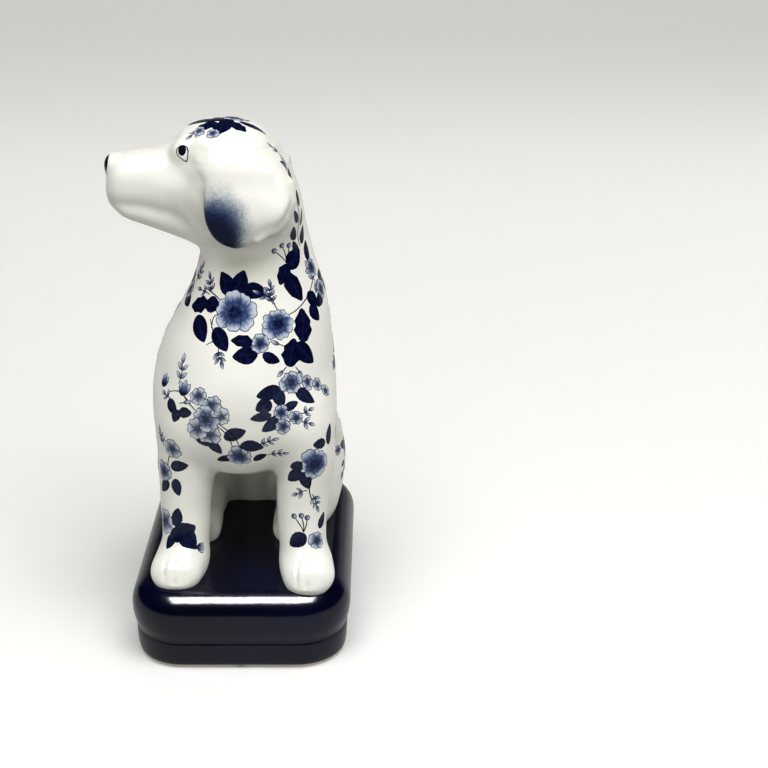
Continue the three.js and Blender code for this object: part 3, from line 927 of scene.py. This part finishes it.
class Painting:
    """Flat painted shapes laid on the skin, each layer a hair above the one below, as one piece.

    Places are in millimetres as seen from one side, and turns in degrees from the viewer's right.
    """

    def __init__(self, name, side, seed=1):
        self.name, self.side = name, side
        self.chance = np.random.default_rng(seed)
        self.anchors, self.shapes, self.lines = [], [], []

    def anchor(self, at):
        """Marks a place that shapes and lines are then laid flat round."""
        self.anchors.append(at)
        return len(self.anchors) - 1

    def each(self, draw, *rows):
        """Draws one motif for every row: its place's two numbers, and then the rest of what draw takes."""
        for x, y, *rest in rows:
            draw((x, y), *rest)

    def shape(self, anchor, outline, kind, tone=0.0, layer=0, turn=0.0, base=(0, 0), reach=1.0):
        """Fills an outline from its edge to its middle, with a skirt round it that sinks into the skin."""
        middle = outline.mean(0)
        arm = outline - middle
        size = np.linalg.norm(arm, axis=1, keepdims=True)
        inset = np.minimum(EDGE_BAND / size, 0.3)
        count = max(1, math.ceil(size.max() / RING_STEP) - 1)
        shares = [1 + SKIRT / size, np.ones_like(size), 1 - inset]
        shares += [(1 - inset) * k / (count + 1) for k in range(count, 0, -1)]
        rings = [middle + arm * share for share in shares]
        points, faces = ringed(rings, close_end=True)
        edge = np.concatenate([np.clip(1 - share, 0, 1) * size for share in shares])[:, 0]
        lift = np.full(len(points), LIFT + LAYER * layer)
        lift[:len(outline)] = BURIED
        along = reach * (points[:, 0] - outline[:, 0].min()) / np.ptp(outline[:, 0])
        across = points[:, 1] / np.abs(outline[:, 1]).max()
        self.shapes.append({
            "anchor": anchor, "points": np.array(base) + turned(points, turn), "faces": faces, "kind": kind,
            "lift": lift, "along": along, "across": across, "edge": np.append(edge, size.mean()),
            "tone": np.full(len(points), tone),
        })

    def line(self, places, width=0.32, tone=0.6, anchor=None):
        """A line through places, or through points round an anchor."""
        self.lines.append((np.array(places, float), width, tone, anchor))

    def lines_along(self, *paths):
        for path in paths:
            self.line(path)

    def leaf(self, at, turn, length, width, tone=0.0, lobes=0.0):
        """A leaf with its middle at a place."""
        bend = self.chance.uniform(-0.06, 0.06)
        outline = blade(length, width, 0.8, 0.68, lobes, bend)
        self.shape(self.anchor(at), outline - [length / 2, 0], "leaf", tone, turn=turn)

    def flower(self, at, radius, petals=6, turn=0.0, tone=0.0, rows=2, layer=0):
        """An open flower: rows of petals over each other, and a heart ringed with seven dots."""
        anchor = self.anchor(at)
        for row in range(rows):
            size = radius * (1 - 0.42 * row)
            for k in range(petals):
                way = turn + (k + 0.5 * row) * 360 / petals + self.chance.uniform(-7, 7)
                length = size * self.chance.uniform(0.82, 1.14)
                outline = blade(length, length * 5 / petals, 1.3, 0.5, notch=self.chance.uniform(0.08, 0.24))
                self.shape(anchor, outline, "petal", tone, layer + k % 3 + 3 * row, way, reach=1 - 0.4 * row)
        top = layer + 3 * rows
        self.shape(anchor, oval(radius * 0.3, radius * 0.3), "line", tone, top)
        for k in range(7):
            way = turn + k * 360 / 7
            self.shape(anchor, oval(0.55, 0.55), "line", tone, top, way, turned([radius * 0.27, 0], way))

    def bud(self, at, turn, length, tone=0.0):
        """Three petals still closed together over a pair of sepals."""
        anchor = self.anchor(at)
        for layer, (lean, share) in enumerate(((26, 0.9), (-26, 0.9), (0, 1.0))):
            outline = blade(length * share, length * 0.5, 0.9, 0.75)
            self.shape(anchor, outline, "petal", tone, layer, turn + lean)
        for lean in (42, -42):
            self.shape(anchor, blade(length * 0.42, length * 0.16), "leaf", 0.4, 3, turn + lean)

    def sprig(self, at, turn, length, pairs=3, leaf=3.0, tone=0.5):
        """A thin stem with pairs of small leaves and one at its tip."""
        anchor = self.anchor(at)
        bow = self.chance.uniform(-0.12, 0.12)
        shares = np.linspace(0, 1, 7)
        stem = np.column_stack([length * shares, bow * length * 4 * shares * (1 - shares)])
        self.line(turned(stem, turn), 0.3, anchor=anchor)
        outline = blade(leaf, leaf * 0.46, 0.85, 0.85)
        for pair in range(pairs):
            share = (pair + 0.7) / (pairs + 0.4)
            base = turned([length * share, bow * length * 4 * share * (1 - share)], turn)
            for lean in (48, -48):
                size = self.chance.uniform(0.85, 1.1)
                self.shape(anchor, outline * size, "petal", tone, 1, turn + lean, base)
        self.shape(anchor, outline * 1.1, "petal", tone, 1, turn, turned([length, 0], turn))

    def berries(self, at, root, radius=1.1, tone=0.35):
        """Round berries on thin stems that rise from one root."""
        for place in at:
            self.shape(self.anchor(place), oval(2 * radius, 2 * radius), "petal", tone, 1)
            self.line([place, mix(np.array(place), np.array(root), 0.6) + [0.4, 0], root], 0.3)

    def spray(self, at, turn, size=1.0, tone=0.0):
        """A flower among leaves, with a small flower, two buds and three sprigs running out from it."""
        at = np.array(at, float)

        def out(along, across):
            return tuple(at + size * turned([along, across], turn))
        self.line([out(-4, 0), out(6, 3), out(17, 2), out(24, -3)], 0.55, 0.3)
        self.line([out(2, 0), out(-8, -5), out(-17, -3)], 0.55, 0.3)
        self.line([out(10, 3), out(15, 8), out(18, 13)], 0.45, 0.3)
        for along, across, lean, length, width, lobes in (
                (8, 7, 50, 9, 5.5, 0.14), (11, -5, -35, 8.5, 5, 0.0), (-6, 7, 130, 9, 5.5, 0.14),
                (-8, -7, 215, 8, 5, 0.0), (2, -9, -80, 9, 5, 0.14), (19, 5, 40, 6, 3.4, 0.0),
                (-14, 1, 160, 6, 3.4, 0.0)):
            self.leaf(out(along, across), turn + lean, length * size, width * size, tone, lobes)
        self.flower(out(0, 0), 7.6 * size, 6, turn, tone, layer=1)
        self.flower(out(17, -4), 4.0 * size, 5, turn + 30, tone + 0.2, rows=1, layer=1)
        self.bud(out(24, -3), turn - 20, 5 * size, tone)
        self.bud(out(-17, -3), turn + 190, 4.6 * size, tone)
        self.sprig(out(18, 13), turn + 60, 6 * size)
        self.sprig(out(-10, 9), turn + 140, 6 * size)
        self.sprig(out(8, -10), turn - 60, 6 * size)

    def followed(self, on_plane):
        """Every line as evenly spaced points on the skin, with the skin's normals there."""
        if not self.lines:
            return [], []
        paths = [through([(k, *place) for k, place in enumerate(line[0])], 8)[:, 1:] for line in self.lines]
        dropped = split_like(landed(self.side, np.concatenate(paths)), paths)
        for index, (_, _, _, anchor) in enumerate(self.lines):
            if anchor is not None:
                dropped[index] = on_plane(paths[index], anchor)
        even = []
        for path in split_like(onto(skin, np.concatenate(dropped)), paths):
            far = np.append(0, np.cumsum(np.linalg.norm(np.diff(path, axis=0), axis=1)))
            share = np.linspace(0, far[-1], max(3, math.ceil(far[-1])))
            even.append(np.column_stack([np.interp(share, far, column) for column in path.T]))
        followed = onto(skin, np.concatenate(even))
        return split_like(followed, even), split_like(unit(slope_of(skin, followed)), even)

    def laid(self):
        """Every shape and line on the skin: its places, faces and kinds, and what the paint has to know."""
        anchors = landed(self.side, self.anchors)
        normals = unit(slope_of(skin, anchors))
        right, up = (np.array(axis, float) for axis in SIDES[self.side][1:])
        tops = unit(up - (normals @ up)[:, None] * normals)
        rights = np.cross(tops, normals)

        def on_plane(points, anchor):
            return anchors[anchor] + points[:, :1] * rights[anchor] + points[:, 1:] * tops[anchor]

        flat = np.concatenate([on_plane(item["points"], item["anchor"]) for item in self.shapes])
        flat = onto(skin, flat, rounds=3)
        lift = np.concatenate([item["lift"] for item in self.shapes])
        flat = flat + lift[:, None] * unit(slope_of(skin, flat))
        places, faces, kinds, start = [flat], [], [], 0
        facts = {key: [item[key] for item in self.shapes] for key in ("along", "across", "edge", "tone")}
        for item in self.shapes:
            faces += [tuple(start + k for k in face) for face in item["faces"]]
            kinds += [KINDS.index(item["kind"])] * len(item["faces"])
            start += len(item["points"])
        for (_, width, tone, _), path, normal in zip(self.lines, *self.followed(on_plane)):
            count = len(path)
            across = unit(np.cross(normal, np.gradient(path, axis=0)))
            taper = width / 2 * (0.45 + 0.55 * np.sqrt(np.sin(math.pi * np.linspace(0.05, 0.95, count))))
            rows = []
            for reach, sunk in ((1, True), (1, False), (-1, False), (-1, True)):
                offset = (taper + LINE_SKIRT * sunk)[:, None] * across * reach
                rows.append(path + offset + (BURIED if sunk else LIFT) * normal)
            places.append(np.stack(rows, 1).reshape(-1, 3))
            for i in range(count - 1):
                a = start + 4 * i
                faces += [(a + k + 1, a + k, a + k + 4, a + k + 5) for k in range(3)]
                kinds += [KINDS.index("line")] * 3
            for key, value in (("along", 0.5), ("across", 0.0), ("edge", 1.0), ("tone", tone)):
                facts[key].append(np.full(4 * count, value))
            start += 4 * count
        facts = {key: np.concatenate(parts) for key, parts in facts.items()}
        return np.concatenate(places), faces, kinds, facts

    def make(self, materials):
        places, faces, kinds, facts = self.laid()
        mesh = mesh_of(self.name, places, faces, unit(slope_of(skin, places)))
        used = sorted(set(kinds))
        made = link(mesh, self.name, *(materials[KINDS[kind]] for kind in used))
        mesh.polygons.foreach_set("material_index", [used.index(kind) for kind in kinds])
        for key, values in facts.items():
            stored(mesh, key, values)
        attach(made, "root")


def leaf_paint():
    """Dense cobalt, brushed along the leaf, with its veins left a little thinner."""
    n = Nodes("leaf_cobalt", roughness=0.35)
    tone, along, across = (n.attribute(key) for key in ("tone", "along", "across"))
    deep = n.mottled(500, 3.0, 0.4, 0.7, rgb(0.0022, 0.0032, 0.020), rgb(0.0050, 0.0100, 0.066))
    pale = n.mottled(600, 3.0, 0.35, 0.7, rgb(0.014, 0.018, 0.040), rgb(0.030, 0.040, 0.085))
    ink = n.blend(tone, deep, pale)
    side = n.math("ABSOLUTE", across)
    rib = n.ramp(side, 0.03, 0.12, 0.16, 0.0)
    wave = n.math("SINE", n.math("ADD", n.math("MULTIPLY", along, 34.0), n.math("MULTIPLY", side, -9.0)))
    vein = n.math("MULTIPLY", n.ramp(wave, 0.75, 1.0), 0.1)
    ink = n.blend(n.math("MAXIMUM", rib, vein), ink, rgb(0.03, 0.05, 0.18))
    n.colour(n.blend(n.ramp(n.attribute("edge"), 0.0, 0.3, 0.7, 0.0), ink, rgb(0.003, 0.004, 0.022)))
    n.glazed(ripple=0.05)
    return n.material


def petal_paint():
    """A wash that thins from the flower's heart to the petal's tip, inside a pencilled outline."""
    n = Nodes("petal_cobalt", roughness=0.35)
    tone, along, across = (n.attribute(key) for key in ("tone", "along", "across"))
    phase = n.math("ADD", n.math("MULTIPLY", across, 11.0), n.math("MULTIPLY", n.noise(300), 8.0))
    reach = n.math("ADD", along, n.math("MULTIPLY", n.math("SINE", phase), 0.035))
    reach = n.wavering(reach, 260, 0.25)
    strong = n.blend(n.ramp(reach, 0.15, 0.62), rgb(0.002, 0.006, 0.040), rgb(0.070, 0.115, 0.26))
    strong = n.blend(n.ramp(reach, 0.5, 0.9), strong, rgb(0.56, 0.62, 0.68))
    thin = n.blend(n.ramp(reach, 0.1, 0.75), rgb(0.12, 0.17, 0.30), rgb(0.68, 0.70, 0.70))
    wash = n.blend(tone, strong, thin)
    line = n.ramp(n.attribute("edge"), 0.12, 0.40, 0.95, 0.0)
    n.colour(n.blend(line, wash, rgb(0.03, 0.04, 0.10)))
    n.glazed(ripple=0.05)
    return n.material


def line_paint():
    n = Nodes("line_cobalt", roughness=0.35)
    dark = n.mottled(400, 3.0, 0.35, 0.7, rgb(0.006, 0.009, 0.04), rgb(0.02, 0.03, 0.09))
    n.colour(n.blend(n.attribute("tone"), dark, rgb(0.09, 0.105, 0.16)))
    n.glazed(ripple=0.05)
    return n.material


def eye_white():
    n = Nodes("eye_white", roughness=0.3)
    base = n.mottled(300, 2.0, 0.3, 0.7, rgb(0.80, 0.80, 0.78), rgb(0.86, 0.86, 0.84))
    n.colour(n.blend(n.ramp(n.attribute("edge"), 0.0, 0.7, 0.5, 0.0), base, rgb(0.42, 0.44, 0.48)))
    n.glazed(ripple=0.05)
    return n.material


def black_paint():
    n = Nodes("black_enamel", roughness=0.3)
    n.colour(n.mottled(500, 2.0, 0.4, 0.7, BLACK, rgb(0.012, 0.012, 0.018)))
    n.glazed(ripple=0.05)
    return n.material


def eye(side):
    """A painted eye: a black almond with the white laid over it, and an oval pupil high in the white.

    The head is turned sideways, so that its left eye looks to the front and its right one to the back.
    """
    at = from_head(24.5, side * 10, 204.4)
    art = Painting(f"{SIDE_NAMES[side]}_eye_paint", "front" if side > 0 else "back")
    anchor = art.anchor((side * at[0], at[2]))
    almond = blade(7.0, 5.4, 0.62, 0.72) - [3.2, 0]
    lean = -62 if side > 0 else 242
    art.shape(anchor, almond, "black", turn=lean)
    art.shape(anchor, almond * [0.87, 0.85], "white", layer=1, turn=lean)
    art.shape(anchor, oval(3.3, 4.3), "black", layer=2, base=(-0.3 * side, 1.1))
    return art


# The rows of the sprays below. A leaf is [x, y, turn, length, width, tone, lobes], a flower [x, y, radius,
# petals, turn, tone, rows, layer], a sprig [x, y, turn, length, pairs, leaf, tone], and a bud [x, y, turn,
# length, tone].
def chest():
    """The three sprays on the chest."""
    art = Painting("chest_sprays", "front", 3)
    # The upper spray, round its two open flowers.
    art.lines_along(
        [(-12, 150), (-7, 148), (-3, 145)], [(-9, 137), (-8, 141), (-4, 143)],
        [(-11, 131), (-8, 133.5), (-9.5, 140)], [(8, 151), (14, 149), (17, 144)],
        [(20, 141), (25, 143), (29, 147), (31, 153)])
    art.each(
        art.leaf, (-3.5, 153, 122, 10.5, 6.5, 0, 0.16), (2, 154, 72, 10.5, 7, 0, 0.16),
        (8.3, 151, -8, 10, 6.5, 0, 0.1), (-14.5, 143.6, 200, 9.5, 7, 0, 0.12),
        (-9.4, 144.6, 185, 8, 6.5, 0, 0.12), (-13.6, 136, -50, 12.5, 7), (-5.2, 133.6, -52, 11, 6.5),
        (3.4, 133.2, 172, 9, 5, 0, 0.1), (4.6, 128.6, 188, 10, 7, 0, 0.12), (14.8, 127, -30, 7.5, 4.5),
        (26.8, 136.5, 78, 13.5, 8.5, 0, 0.14), (22.6, 127.6, 66, 11.5, 8, 0, 0.14),
        (27.6, 126, -52, 12, 7.5), (30.4, 144.5, -62, 7.5, 6))
    art.each(
        art.flower, (0.6, 143.4, 8.8, 7, 10, 0, 2, 1), (17.2, 139, 7.2, 6, 40, 0, 2, 1),
        (10.4, 132.6, 4.2, 5, 20, 0.15, 1, 1))
    art.each(
        art.sprig, (-9, 148.5, 120, 6, 2, 3.4, 0.3), (-10, 148, 172, 6, 1, 3.2, 0.45),
        (-6, 130.4, -68, 5, 2, 3.2, 0.3), (15.5, 146, 92, 7, 3, 3, 0.3), (15, 148, 150, 5, 1, 3.4, 0.3),
        (19.6, 130.5, 150, 2, 0, 3.6, 0.6), (20.6, 122.8, 215, 2, 0, 3.4, 0.6),
        (24, 122, -60, 2, 0, 3.4, 0.6))
    # The lower left spray, from its buds down to the brisket.
    art.lines_along(
        [(-27, 111), (-22, 112.5), (-17, 109.5)], [(-21, 113), (-19, 110.5), (-15, 107)],
        [(-7, 101.5), (-2.5, 97), (-1, 92)], [(-6, 102), (-0.5, 97.5), (2, 92)])
    art.sprig((-22.5, 115), 96, 8, 2, 4.2, 0.8)
    art.each(art.bud, (-29.5, 111.5, 96, 5.6), (-20.8, 111.5, 90, 6.6, 0.1))
    art.each(art.sprig, (-26, 108.8, 165, 4, 1, 3.2, 0.6), (-22, 108.6, 20, 2, 0, 3.4, 0.6))
    art.each(
        art.leaf, (-25, 106.6, -40, 8, 4.5, 0.75), (-23.4, 103.6, 250, 5.5, 4.5, 0.75),
        (-19.6, 105.4, 10, 6, 4.5, 0.75))
    art.each(
        art.flower, (-13.8, 112.8, 4.4, 6, 15, 0.45, 1), (-8.8, 109.8, 4.4, 6, 40, 0.4, 1, 1),
        (-4.8, 105.2, 3.8, 5, 0, 0.85, 1), (-11.2, 104, 6, 6, 30, 0.25, 2, 3),
        (-14.4, 99.4, 5.4, 6, 0, 0.55, 1, 2), (-9.8, 97.2, 4.8, 6, 20, 0.5, 1, 1))
    art.each(
        art.leaf, (-13, 94.6, -50, 7.5, 5, 0.7), (-8, 91.6, -55, 8, 4.5, 0.7),
        (0.2, 97.6, 22, 9.5, 5.5, 0.55), (6.6, 92, -8, 9.5, 5.5, 0.2))
    art.flower((1.5, 87.4), 5.6, 7, 0, 0.1, 1)
    art.each(art.leaf, (-4.4, 85.8, 200, 7.5, 3.5, 0.1), (9.6, 86.4, 30, 6, 3.5, 0.1))
    art.each(art.sprig, (9, 92.8, 20, 6, 2, 2.8, 0.8), (12.6, 87.6, 10, 6, 2, 2.8, 0.7))
    # The lower right spray.
    art.each(
        art.flower, (22.4, 116.6, 5.4, 6, 12, 0.2, 2, 2), (28.4, 115, 3.4, 5, 50, 0.45, 1, 1),
        (32.2, 112.4, 3, 5, 0, 0.5, 1), (35.4, 109, 2.8, 5, 30, 0.5, 1, 1))
    art.each(
        art.leaf, (13.6, 114.6, 195, 10, 5.5, 0.5), (17.6, 112, -75, 8, 5.5, 0.8),
        (27.6, 110.4, -48, 9.5, 6, 0.55), (11.8, 109.4, 205, 7, 6, 0.75), (10.6, 105, 190, 8.5, 4, 0.8),
        (14.4, 102, 222, 9.5, 5, 0.8), (22.4, 108.6, 20, 7, 3.5, 0.8))
    art.each(
        art.flower, (18.6, 106.4, 3.8, 6, 0, 0.2, 1, 2), (19.4, 100.8, 3.6, 5, 35, 0.3, 1, 1),
        (24.4, 104, 3.2, 5, 10, 0.3, 1, 1))
    art.line([(19.5, 101), (22, 103), (25, 104.5)])
    art.each(art.sprig, (26, 105, 15, 4, 1, 3.2), (25.6, 102.6, -20, 4, 1, 3.2, 0.7))
    return art


def nape():
    """A trailing spray from the crown down the back of the neck to the shoulder."""
    art = Painting("nape_spray", "front", 5)
    art.berries([(15.8, 165.6), (18.8, 167.4), (21.4, 166.8)], (20.3, 160.4))
    art.each(
        art.leaf, (23.4, 161, 40, 10, 7, 0, 0.12), (28, 162, 80, 8.5, 4),
        (19.4, 156.2, 236, 9, 5.5, 0, 0.1), (23.6, 151, -72, 12.5, 7.5, 0, 0.08))
    art.flower((29.6, 155.6), 4.8, 6, 20, 0.2, 2, 1)
    art.line([(20.3, 160.4), (21.5, 157), (22, 154)])
    art.each(art.sprig, (31, 149.5, -60, 4, 1, 3.4, 0.4), (31.4, 146, 40, 4, 2, 2.6, 0.6))
    art.leaf((31.4, 139.5), -70, 8, 6)
    return art


def trail():
    """Buds and leaves hanging from the crown down the side of the neck."""
    art = Painting("neck_trail", "left", 19)
    art.line([(-14, 203), (-15.5, 197), (-16.5, 190), (-16, 182), (-15, 174), (-13, 165)], 0.3)
    art.sprig((-14, 202), 95, 4, 1, 3.2)
    art.each(art.bud, (-15.4, 196, 98, 6.6, 0.1), (-17, 188, 100, 7))
    for y, z, turn, length in (
            (-18, 199, 125, 6), (-12.4, 193.6, 60, 6.5), (-19.6, 185.5, 125, 6), (-12.6, 184.6, 55, 7),
            (-18.6, 178.6, 125, 7), (-11.6, 176.6, 60, 7), (-17.4, 171.6, 118, 7.5), (-10.4, 169, 66, 7.5),
            (-15.6, 164.8, 112, 7)):
        art.leaf((y, z), turn, length, 0.5 * length, 0.4)
    return art


def crown():
    """A round spray on the top of the head, as seen from above."""
    art = Painting("crown_spray", "top", 7)
    art.each(
        art.leaf, (-4, -13.5, 262, 10, 7.5, 0, 0.16), (-10, -11.5, 215, 9.5, 6, 0, 0.14),
        (2, -12, -35, 9.5, 6, 0, 0.14), (-13, -5, 175, 11, 5.5, 0.2), (8, -6, 5, 12, 5, 0.2),
        (-6, 3, 110, 9, 5.5, 0.1, 0.14), (3, 2, 60, 9, 5.5, 0.1), (-8, -5, 205, 9, 6, 0, 0.14),
        (-2, -9, -60, 9, 6, 0, 0.14))
    art.each(
        art.flower, (0, 0, 6, 6, 0, 0.05, 2, 1), (-12.5, -15, 3, 5, 0, 0.5, 1, 2),
        (-7, -17.5, 3, 5, 30, 0.4, 1, 2))
    art.each(art.sprig, (-12, -14, 215, 4, 1, 3.2), (-9, 8, 150, 6, 2), (4, 8, 60, 6, 2))
    return art


def forelegs():
    """Flowers, leaves and berries down the front of both forelegs."""
    art = Painting("foreleg_sprays", "front", 11)
    # The dog's right foreleg.
    art.sprig((-29.6, 89), 110, 5, 2, 3.2, 0.7)
    art.flower((-25.6, 89), 4.6, 5, 20, 0.45, 1, 1)
    art.line([(-26, 88), (-28, 82), (-28.5, 72)])
    art.leaf((-23.4, 80.8), 10, 8, 5, 0.75)
    art.flower((-30, 77), 5, 6, 0, 0.2, 1, 1)
    art.each(art.leaf, (-30, 70.6, 230, 7.5, 4.5, 0.3), (-24.6, 71.6, 280, 7.5, 4.5, 0.6))
    art.flower((-30.4, 55.4), 5.6, 5, 15, 0.35, 1)
    art.each(
        art.leaf, (-25.4, 58.6, 80, 8, 5, 0.3), (-22.4, 52.6, 20, 11, 8.5, 0.3, 0.18),
        (-20.4, 49.6, -60, 10.5, 7.5, 0.3, 0.18), (-25.8, 50.6, 215, 8.5, 6, 0.3, 0.14),
        (-28, 48, 262, 7, 4.4, 0.4))
    art.bud((-17.4, 46), -30, 4.6, 0.5)
    # The dog's left foreleg.
    art.each(art.leaf, (37, 93.6, 70, 8.5, 4, 0.2), (33.4, 91.6, 175, 6.5, 4.5, 0.3))
    art.flower((31.2, 83.4), 7.4, 6, 10, 0, 2, 1)
    art.each(
        art.leaf, (24.2, 82.8, 200, 6.5, 4.5, 0.6), (23.2, 78, 215, 8, 5, 0.4),
        (27.6, 76.4, -70, 8, 5, 0.3))
    art.line([(31, 80), (29, 72), (31, 64)])
    art.each(art.sprig, (30, 70, -70, 6, 2, 3.2, 0.6), (28, 72, 200, 4, 1, 3.2, 0.6))
    art.berries([(22.6, 60.6), (25.6, 61), (28, 60)], (26.4, 54))
    art.leaf((24, 50.6), 210, 8.5, 6.5, 0.5)
    art.flower((31.6, 49.6), 4.6, 5, 15, 0.3, 1, 1)
    art.leaf((33.6, 57), 60, 7, 4, 0.2)
    return art


def flanks():
    """Sprays on each flank and thigh, as seen from that side, and down the back."""
    for sign, side in SIDE_NAMES.items():
        art = Painting(f"{side}_flank_sprays", side, 13 + sign)
        art.spray((sign * 4, 122), 90 - sign * 25, 0.95, 0.05)
        art.spray((sign * 29, 60), 90 - sign * 62, 0.8, 0.1)
        art.flower((sign * -10, 146), 4.4, 6, 20, 0.2, 1, 1)
        art.each(
            art.leaf, (sign * -14, 143, 90 + sign * 120, 8, 5, 0.1),
            (sign * -6, 150, 90 - sign * 50, 8, 5, 0.1, 0.14))
        art.sprig((sign * -12, 150), 90 + sign * 15, 6, 2, 3.4)
        art.flower((sign * -23, 88), 4.6, 6, 10, 0.2, 1, 1)
        art.each(art.leaf, (sign * -26, 82, 250, 8, 5, 0.1), (sign * -20, 93, 70, 8, 5, 0.1))
        art.sprig((sign * -27, 62), 90 + sign * 8, 8, 3, 3.4)
        art.leaf((sign * -24, 56), 300, 7, 4.4, 0.1)
        yield art
    art = Painting("back_sprays", "back", 17)
    art.spray((-5, 138), 84, 1.0, 0.05)
    art.spray((3, 84), 110, 1.0, 0.1)
    art.flower((-20, 104), 4.6, 6, 10, 0.2, 1, 1)
    art.each(art.leaf, (-24, 99, 230, 8, 5, 0.1), (-16, 109, 50, 8, 5, 0.1))
    art.flower((22, 112), 4.6, 6, 10, 0.2, 1, 1)
    art.each(art.leaf, (26, 107, -40, 8, 5, 0.1), (19, 117, 110, 8, 5, 0.1))
    art.sprig((-2, 56), 262, 8, 3, 3.4)
    yield art


# ---- The picture ----
CAMERA_PLACE = (59, -625.5, 350)
CAMERA_DIP = 21.74  # degrees below the horizon
LENS = 75
SENSOR = 36
GAMMA = 0.86
WORLD_COLOUR = rgb(1, 0.985, 0.95)
WORLD_STRENGTH = 0.37
AIM = (0, 0, 0.1)  # where every light points, in metres
# The lights: [name, place, size, watts, what they aren't seen by], in metres.
LIGHTS = [
    ("overhead", (0.1, -0.4, 1.15), (1.2, 0.8), 11.2, None),
    ("right_fill", (0.8, -0.9, 0.8), (0.9, 0.6), 2.8, "glossy"),
    ("low_fill", (-0.4, -1.4, 0.3), (0.9, 0.6), 3.0, "glossy"),
    ("rim_fill", (1.0, 0.4, 0.2), (0.9, 0.3), 1.1, "glossy"),
    ("strip", (0.05, -0.42, 1.12), (1.2, 0.7), 105, "diffuse"),
]


def camera():
    data = bpy.data.cameras.new("camera")
    data.lens = LENS
    data.sensor_width = SENSOR
    made = link(data, "camera")
    made.location = to_scene(CAMERA_PLACE)
    made.rotation_euler = (math.radians(90 - CAMERA_DIP), 0, 0)
    bpy.context.scene.camera = made


def softbox(name, place, size, power, hidden_from):
    data = bpy.data.lights.new(name, "AREA")
    data.shape = "RECTANGLE"
    data.size, data.size_y = size
    data.energy = power
    made = link(data, name)
    made.location = place
    made.rotation_euler = (Vector(AIM) - Vector(place)).to_track_quat("-Z", "Y").to_euler()
    made.visible_glossy = hidden_from != "glossy"
    made.visible_diffuse = hidden_from != "diffuse"


def studio():
    """A dim world that isn't mirrored, and the lights."""
    world = bpy.data.worlds.new("studio")
    world.use_nodes = True
    background = world.node_tree.nodes["Background"]
    background.inputs["Color"].default_value = WORLD_COLOUR
    background.inputs["Strength"].default_value = WORLD_STRENGTH
    world.cycles_visibility.glossy = False
    bpy.context.scene.world = world
    bpy.context.scene.view_settings.view_transform = "Standard"
    bpy.context.scene.view_settings.gamma = GAMMA
    for light in LIGHTS:
        softbox(*light)


def backdrop(half_width=2.4, front=-2.0, bend=1.6, radius=0.8, height=3.0):
    """A floor that curves up into a wall, in metres."""
    turns = np.linspace(0, math.pi / 2, 13)
    curve = [(bend + radius * math.sin(t), radius - radius * math.cos(t)) for t in turns]
    profile = [(front, 0.0), *curve, (bend + radius, height)]
    n = len(profile)
    mesh = bpy.data.meshes.new("backdrop")
    vertices = [(x, y, z) for x in (-half_width, half_width) for y, z in profile]
    mesh.from_pydata(vertices, [], [(i, i + 1, n + i + 1, n + i) for i in range(n - 1)])
    mesh.polygons.foreach_set("use_smooth", [True] * len(mesh.polygons))
    sweep = link(mesh, "backdrop", paper())
    sweep.visible_diffuse = False


# ---- Making it ----
DOG_LOW, DOG_HIGH = (-56, -68, TOP - 3), (48, 66, 220)  # a box that holds the whole dog
CELL = 0.9  # the size of the skin's quads
camera()
studio()
backdrop()
rough, quads = polygonise(skin, DOG_LOW, DOG_HIGH, CELL)
special = {"head_casting": head_glaze(), "left_ear": ear_glaze(1), "right_ear": ear_glaze(-1)}
white = porcelain("white_glaze")
divided(relaxed(skin, rough, quads), quads, lambda name: special.get(name, white))
plinth(cobalt(), bare_biscuit())
paints = {"leaf": leaf_paint(), "petal": petal_paint(), "line": line_paint(), "white": eye_white(),
          "black": black_paint()}
for art in (chest(), nape(), trail(), crown(), forelegs(), *flanks(), eye(1), eye(-1)):
    art.make(paints)
wool = felt()
for seed, node in enumerate(("felt_pad_front", "felt_pad_back", "felt_pad_left", "felt_pad_right")):
    felt_pad(node, wool, seed)
